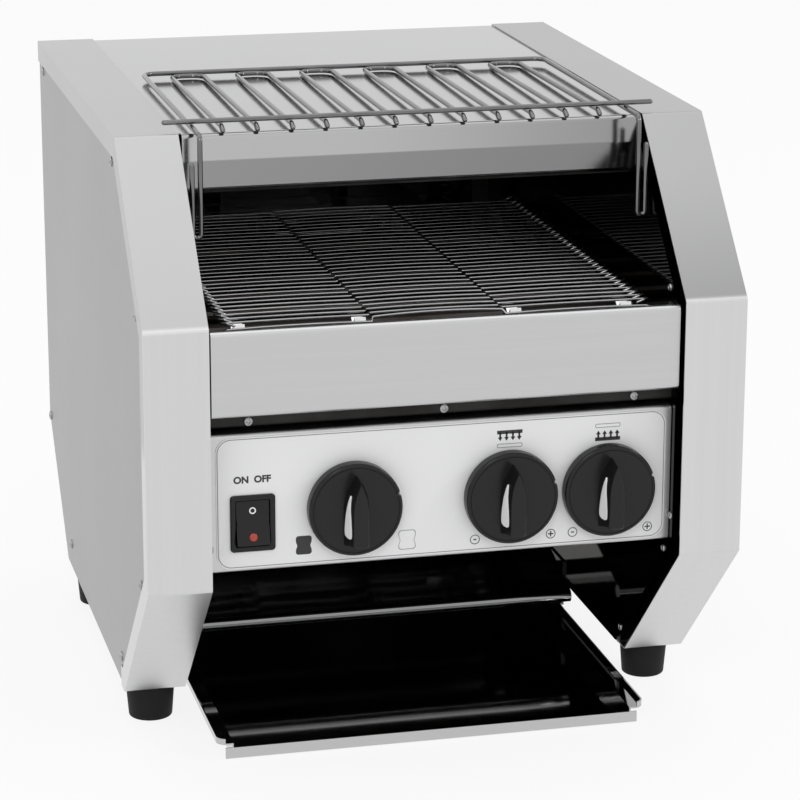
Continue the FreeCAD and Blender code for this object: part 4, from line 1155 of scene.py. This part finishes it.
class TOASTER_OT_screws(bpy.types.Operator):
    """Makes the domed screw heads with their pressed crosses."""

    bl_idname = "toaster.screws"
    bl_label = "Screws"

    def execute(self, context):
        steel = drawn_wire("screw_steel", (0.42, 0.42, 0.425), 0.28)
        for node in ("side_screws", "front_screws"):
            points, faces = gathered([self.head(low, high) for low, high in lumps(node)])
            name = node.removesuffix("_screws") + "_screw_heads"
            screws = piece(name, points, faces, steel, "housing", 30.0)
            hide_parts(node)
        return {"FINISHED"}

    def head(self, low, high):
        """A low dome with a cross pressed into it, facing out of its sheet.

        Over the radius r the dome is height * (0.35 + 0.65 * sqrt(1 - (r / R) ** 2)); a cross
        of two slots, 0.9 mm wide and 0.55 R long each way, is pressed 0.6 mm into it.
        """
        size = high - low
        axis = int(np.argmin(size))
        radius = float(np.sort(size)[1:].mean() / 2)
        thick = float(size[axis])
        centre = (low + high) / 2
        outwards = -1.0 if axis == 1 else np.sign(centre[0])
        wall_x = 0.16
        on_inner_wall = axis == 0 and abs(centre[0]) < wall_x
        if on_inner_wall:
            outwards = -outwards
        steps, slot_half, slot_depth = 48, 0.00045, 0.0006
        r = np.concatenate([np.linspace(0.0, 0.62, 8), np.linspace(0.68, 1.0, 5)])[:, None] * radius
        t = np.linspace(0.0, 2 * np.pi, steps, endpoint=False)[None, :]
        a, b = r * np.cos(t), r * np.sin(t)
        dome = thick * (0.35 + 0.65 * np.sqrt(np.clip(1 - (r / radius) ** 2, 0, 1))) + 0 * t
        arm = 0.55 * radius
        level_slot = (np.abs(b) < slot_half) & (np.abs(a) < arm)
        upright_slot = (np.abs(a) < slot_half) & (np.abs(b) < arm)
        height = np.where(level_slot | upright_slot, dome - slot_depth, dome)
        grid = np.stack([a, b, height], -1)
        foot = grid[-1:] * np.array([1.0, 1.0, 0.0])
        grid = np.concatenate([grid, foot, 0 * foot])
        flat = np.empty_like(grid)
        first, second = (k for k in range(3) if k != axis)
        base = (low if outwards > 0 else high)[axis]
        flat[..., first] = grid[..., 0] + centre[first]
        flat[..., second] = grid[..., 1] + centre[second]
        flat[..., axis] = base + outwards * grid[..., 2]
        return flat, quads(len(grid), steps)


class TOASTER_OT_rack(bpy.types.Operator):
    """Makes the rack of round wires: frame with clips, cross rail and hairpins."""

    bl_idname = "toaster.rack"
    bl_label = "Wire rack"

    def execute(self, context):
        size = context.scene.toaster_rack
        wire = drawn_wire("rack_wire", tuple(size.colour), 0.10)
        r = size.wire
        sides, chords = 12, 7
        off_axis = (0.37, 0.52, 0.77)
        low, high = span("rack_frame")
        top_z = high[2] - r
        leg_y, back_y = low[1] + r, high[1] - r
        x_out = high[0] - r
        foot_z = low[2] + r
        leg_gap = 0.005
        x = x_out - leg_gap
        side = [
            (x, back_y, top_z), (x, leg_y, top_z), (x, leg_y, foot_z), (x_out, leg_y, foot_z),
            (x_out, leg_y, foot_z + size.leg_return),
        ]
        corners = np.array([(-a, b, c) for a, b, c in side[::-1]] + side)
        slack = 0.00002
        turn = leg_gap / 2 - slack
        radii = [turn, turn, size.leg_bend, size.corner, size.corner, size.leg_bend, turn, turn]
        points, faces = tube(filleted(corners, radii, chords), r, sides, off_axis)
        frame_wire = piece("rack_frame_wire", points, faces, wire, "rack", 180.0)
        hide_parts("rack_frame")
        low, high = span("rack_rail")
        rail_y, rail_z = (low[1] + high[1]) / 2, high[2] - r
        rail_path = np.linspace((low[0] + r, rail_y, rail_z), (high[0] - r, rail_y, rail_z), 5)
        points, faces = tube(rail_path, r, sides, (0.0, 0.0, 1.0))
        rail = piece("rack_cross_rail", points, faces, wire, "rack", 180.0)
        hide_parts("rack_rail")
        parts = []
        for low, high in lumps("rack_wires"):
            x0, x1 = low[0] + r, high[0] - r
            y0, y1 = low[1] + r, high[1] - r
            z0, z1 = high[2] - r, low[2] + r
            half = [(y0 - size.tip, z0 - size.tip_drop), (y0, z0), (y1, z1)]
            corners = np.array([(x0, y, z) for y, z in half] + [(x1, y, z) for y, z in half[::-1]])
            radii = [size.leg_bend, size.corner, size.corner, size.leg_bend]
            parts.append(tube(filleted(corners, radii, chords), r, sides, off_axis))
        points, faces = gathered(parts)
        hairpins = piece("rack_hairpins", points, faces, wire, "rack", 180.0)
        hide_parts("rack_wires")
        return {"FINISHED"}


class TOASTER_OT_feet(bpy.types.Operator):
    """Makes the tapered rubber feet, with a rounded tread and shoulder."""

    bl_idname = "toaster.feet"
    bl_label = "Feet"

    def execute(self, context):
        black = rubber("foot_rubber", tuple(context.scene.toaster_casing.foot))
        base = span("base_channel_left")[0][2]
        tread_edge, shoulder_edge, taper = 0.0012, 0.001, 0.00175
        stem, stem_height = 0.004, 0.008
        t = np.linspace(0.0, np.pi / 2, 6)
        parts = []
        for low, high in lumps("feet"):
            wide = (high[0] - low[0]) / 2
            tread = wide - taper - tread_edge
            shoulder = np.array([wide - shoulder_edge, base - shoulder_edge])
            profile = np.concatenate([
                [[0.0, 0.0], [0.005, 0.0]],
                np.stack([tread + tread_edge * np.sin(t), tread_edge - tread_edge * np.cos(t)], -1),
                shoulder + shoulder_edge * np.stack([np.cos(t), np.sin(t)], -1),
                [[stem, base], [stem, base + stem_height], [0.0, base + stem_height]],
            ])
            points, faces = turned(profile, 56)
            middle_x, middle_y = (low[:2] + high[:2]) / 2
            parts.append((points + np.array([middle_x, middle_y, 0.0]), faces))
        points, faces = gathered(parts)
        feet = piece("rubber_feet", points, faces, black, "housing", 35.0)
        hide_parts("feet")
        return {"FINISHED"}


class TOASTER_OT_gland(bpy.types.Operator):
    """Gives the cable gland its moulded finish."""

    bl_idname = "toaster.gland"
    bl_label = "Cable gland"

    def execute(self, context):
        use("cable_gland", moulded("gland_plastic", (0.02, 0.02, 0.021), 0.45, 700.0, 0.00002))
        return {"FINISHED"}


class TOASTER_OT_studio(bpy.types.Operator):
    """Sets the pale floor, the soft lights, the surround and the camera."""

    bl_idname = "toaster.studio"
    bl_label = "Studio"

    def execute(self, context):
        look = context.scene.toaster_studio
        self.floor()
        self.world(look)
        self.light("key_light", (-0.7, -2.1, 1.7), (0.0, -0.1, 0.2), 0.6, look.key)
        self.light("top_light", (0.0, 0.1, 2.3), (0.0, 0.0, 0.2), 2.2, look.top)
        self.light("side_light", (-2.2, 0.3, 1.4), (0.0, 0.0, 0.2), 0.4, look.side)
        self.light("right_light", (1.75, -0.85, 1.25), (0.0, -0.2, 0.17), 0.3, look.right)
        self.camera(look)
        return {"FINISHED"}

    def floor(self):
        """A wide white floor that shows white to the camera and to gloss, and keeps the shadow."""
        mesh = bpy.data.meshes.new("floor")
        far = 14.0
        corners = [(-far, -far, 0), (far, -far, 0), (far, far, 0), (-far, far, 0)]
        mesh.from_pydata(corners, [], [(0, 1, 2, 3)])
        thing = placed("floor", mesh)
        material = bpy.data.materials.new("floor_white")
        material.use_nodes = True
        nodes = Nodes(material.node_tree, empty=True)
        pale = nodes.node("ShaderNodeBsdfDiffuse", None, {"Color": (0.9, 0.9, 0.9, 1.0)})
        glow = nodes.node("ShaderNodeEmission", None, {"Strength": 1.0})
        white_share = 0.86
        seen = Level(nodes, self.shown(nodes)) * white_share
        mix = nodes.node("ShaderNodeMixShader", None, {0: seen, 1: pale.outputs[0], 2: glow.outputs[0]})
        nodes.node("ShaderNodeOutputMaterial", None, {"Surface": mix.outputs[0]})
        mesh.materials.append(material)

    def world(self, look):
        """A pale surround that lights the object, and white where camera, gloss or glass sees it."""
        world = bpy.context.scene.world or bpy.data.worlds.new("surround")
        bpy.context.scene.world = world
        world.use_nodes = True
        nodes = Nodes(world.node_tree, empty=True)
        colour = (1.0, 1.0, 1.0, 1.0)
        pale = nodes.node("ShaderNodeBackground", None, {"Color": colour, "Strength": look.surround})
        white = nodes.node("ShaderNodeBackground", None, {"Color": colour, "Strength": 1.0})
        sockets = {0: self.shown(nodes), 1: pale.outputs[0], 2: white.outputs[0]}
        mix = nodes.node("ShaderNodeMixShader", None, sockets)
        nodes.node("ShaderNodeOutputWorld", None, {"Surface": mix.outputs[0]})

    def shown(self, nodes):
        """1 for rays from the camera, from gloss and through glass, and 0 for the others."""
        path = nodes.node("ShaderNodeLightPath")
        share = path.outputs["Is Camera Ray"]
        for kind in ("Is Glossy Ray", "Is Transmission Ray"):
            sockets = {0: share, 1: path.outputs[kind]}
            share = nodes.node("ShaderNodeMath", {"operation": "MAXIMUM"}, sockets).outputs[0]
        return share

    def light(self, name, place, target, size, power):
        """A square soft light of a size and power, aimed from its place at a target."""
        data = bpy.data.lights.new(name, "AREA")
        data.shape = "SQUARE"
        data.size = size
        data.energy = power
        lamp = placed(name, data)
        lamp.location = place
        way = np.array(target) - np.array(place)
        lamp.rotation_mode = "QUATERNION"
        lamp.rotation_quaternion = Vector(way.tolist()).to_track_quat("-Z", "Y")

    def camera(self, look):
        """Camera at the photograph's angle: about 13.8 degrees to the left and 16 above level."""
        data = bpy.data.cameras.new("camera")
        data.lens = look.lens
        data.sensor_width = 36.0
        camera = placed("camera", data)
        place = (-0.45417, -1.94089, 0.74839)
        right = (0.97131864, -0.23776947, 0.0024042)
        up = (0.06388618, 0.27069574, 0.96054275)
        back = (-0.22903854, -0.93283948, 0.278122)
        camera.matrix_world = Matrix((*zip(right, up, back, place), (0.0, 0.0, 0.0, 1.0)))
        data.clip_start, data.clip_end = 0.05, 60.0
        data.dof.use_dof = False
        bpy.context.scene.camera = camera
        bpy.context.scene.view_settings.view_transform = "Standard"


class TOASTER_PT_panel(bpy.types.Panel):
    """Lists the toaster's pieces and their settings."""

    bl_idname = "TOASTER_PT_panel"
    bl_label = "Conveyor toaster"
    bl_space_type = "VIEW_3D"
    bl_region_type = "UI"
    bl_category = "Toaster"

    def draw(self, context):
        for operators, holder in STEPS:
            box = self.layout.box()
            for operator in operators:
                box.operator(operator.bl_idname)
            settings = getattr(context.scene, holder)
            for name in settings.bl_rna.properties.keys():
                if name not in {"rna_type", "name"}:
                    box.prop(settings, name)


SETTINGS = {
    "toaster_casing": CasingSettings,
    "toaster_belt": BeltSettings,
    "toaster_knobs": KnobSettings,
    "toaster_panel": PanelSettings,
    "toaster_rack": RackSettings,
    "toaster_studio": StudioSettings,
}

STEPS = (
    ((TOASTER_OT_casing, TOASTER_OT_feet, TOASTER_OT_screws, TOASTER_OT_gland), "toaster_casing"),
    ((TOASTER_OT_belt, TOASTER_OT_inside), "toaster_belt"),
    ((TOASTER_OT_knobs,), "toaster_knobs"),
    ((TOASTER_OT_switch, TOASTER_OT_print), "toaster_panel"),
    ((TOASTER_OT_rack,), "toaster_rack"),
    ((TOASTER_OT_studio,), "toaster_studio"),
)


def register():
    """Makes the settings, the operators and the panel known."""
    for settings in SETTINGS.values():
        bpy.utils.register_class(settings)
    for operators, _ in STEPS:
        for operator in operators:
            bpy.utils.register_class(operator)
    bpy.utils.register_class(TOASTER_PT_panel)
    for name, settings in SETTINGS.items():
        setattr(bpy.types.Scene, name, PointerProperty(type=settings))


def unregister():
    """Takes the panel, the operators and the settings away again."""
    for name in SETTINGS:
        delattr(bpy.types.Scene, name)
    bpy.utils.unregister_class(TOASTER_PT_panel)
    for operators, _ in reversed(STEPS):
        for operator in reversed(operators):
            bpy.utils.unregister_class(operator)
    for settings in reversed(list(SETTINGS.values())):
        bpy.utils.unregister_class(settings)


def main():
    register()
    for operators, _ in STEPS:
        for operator in operators:
            group, step = operator.bl_idname.split(".")
            getattr(getattr(bpy.ops, group), step)()


if __name__ == "__main__":
    main()
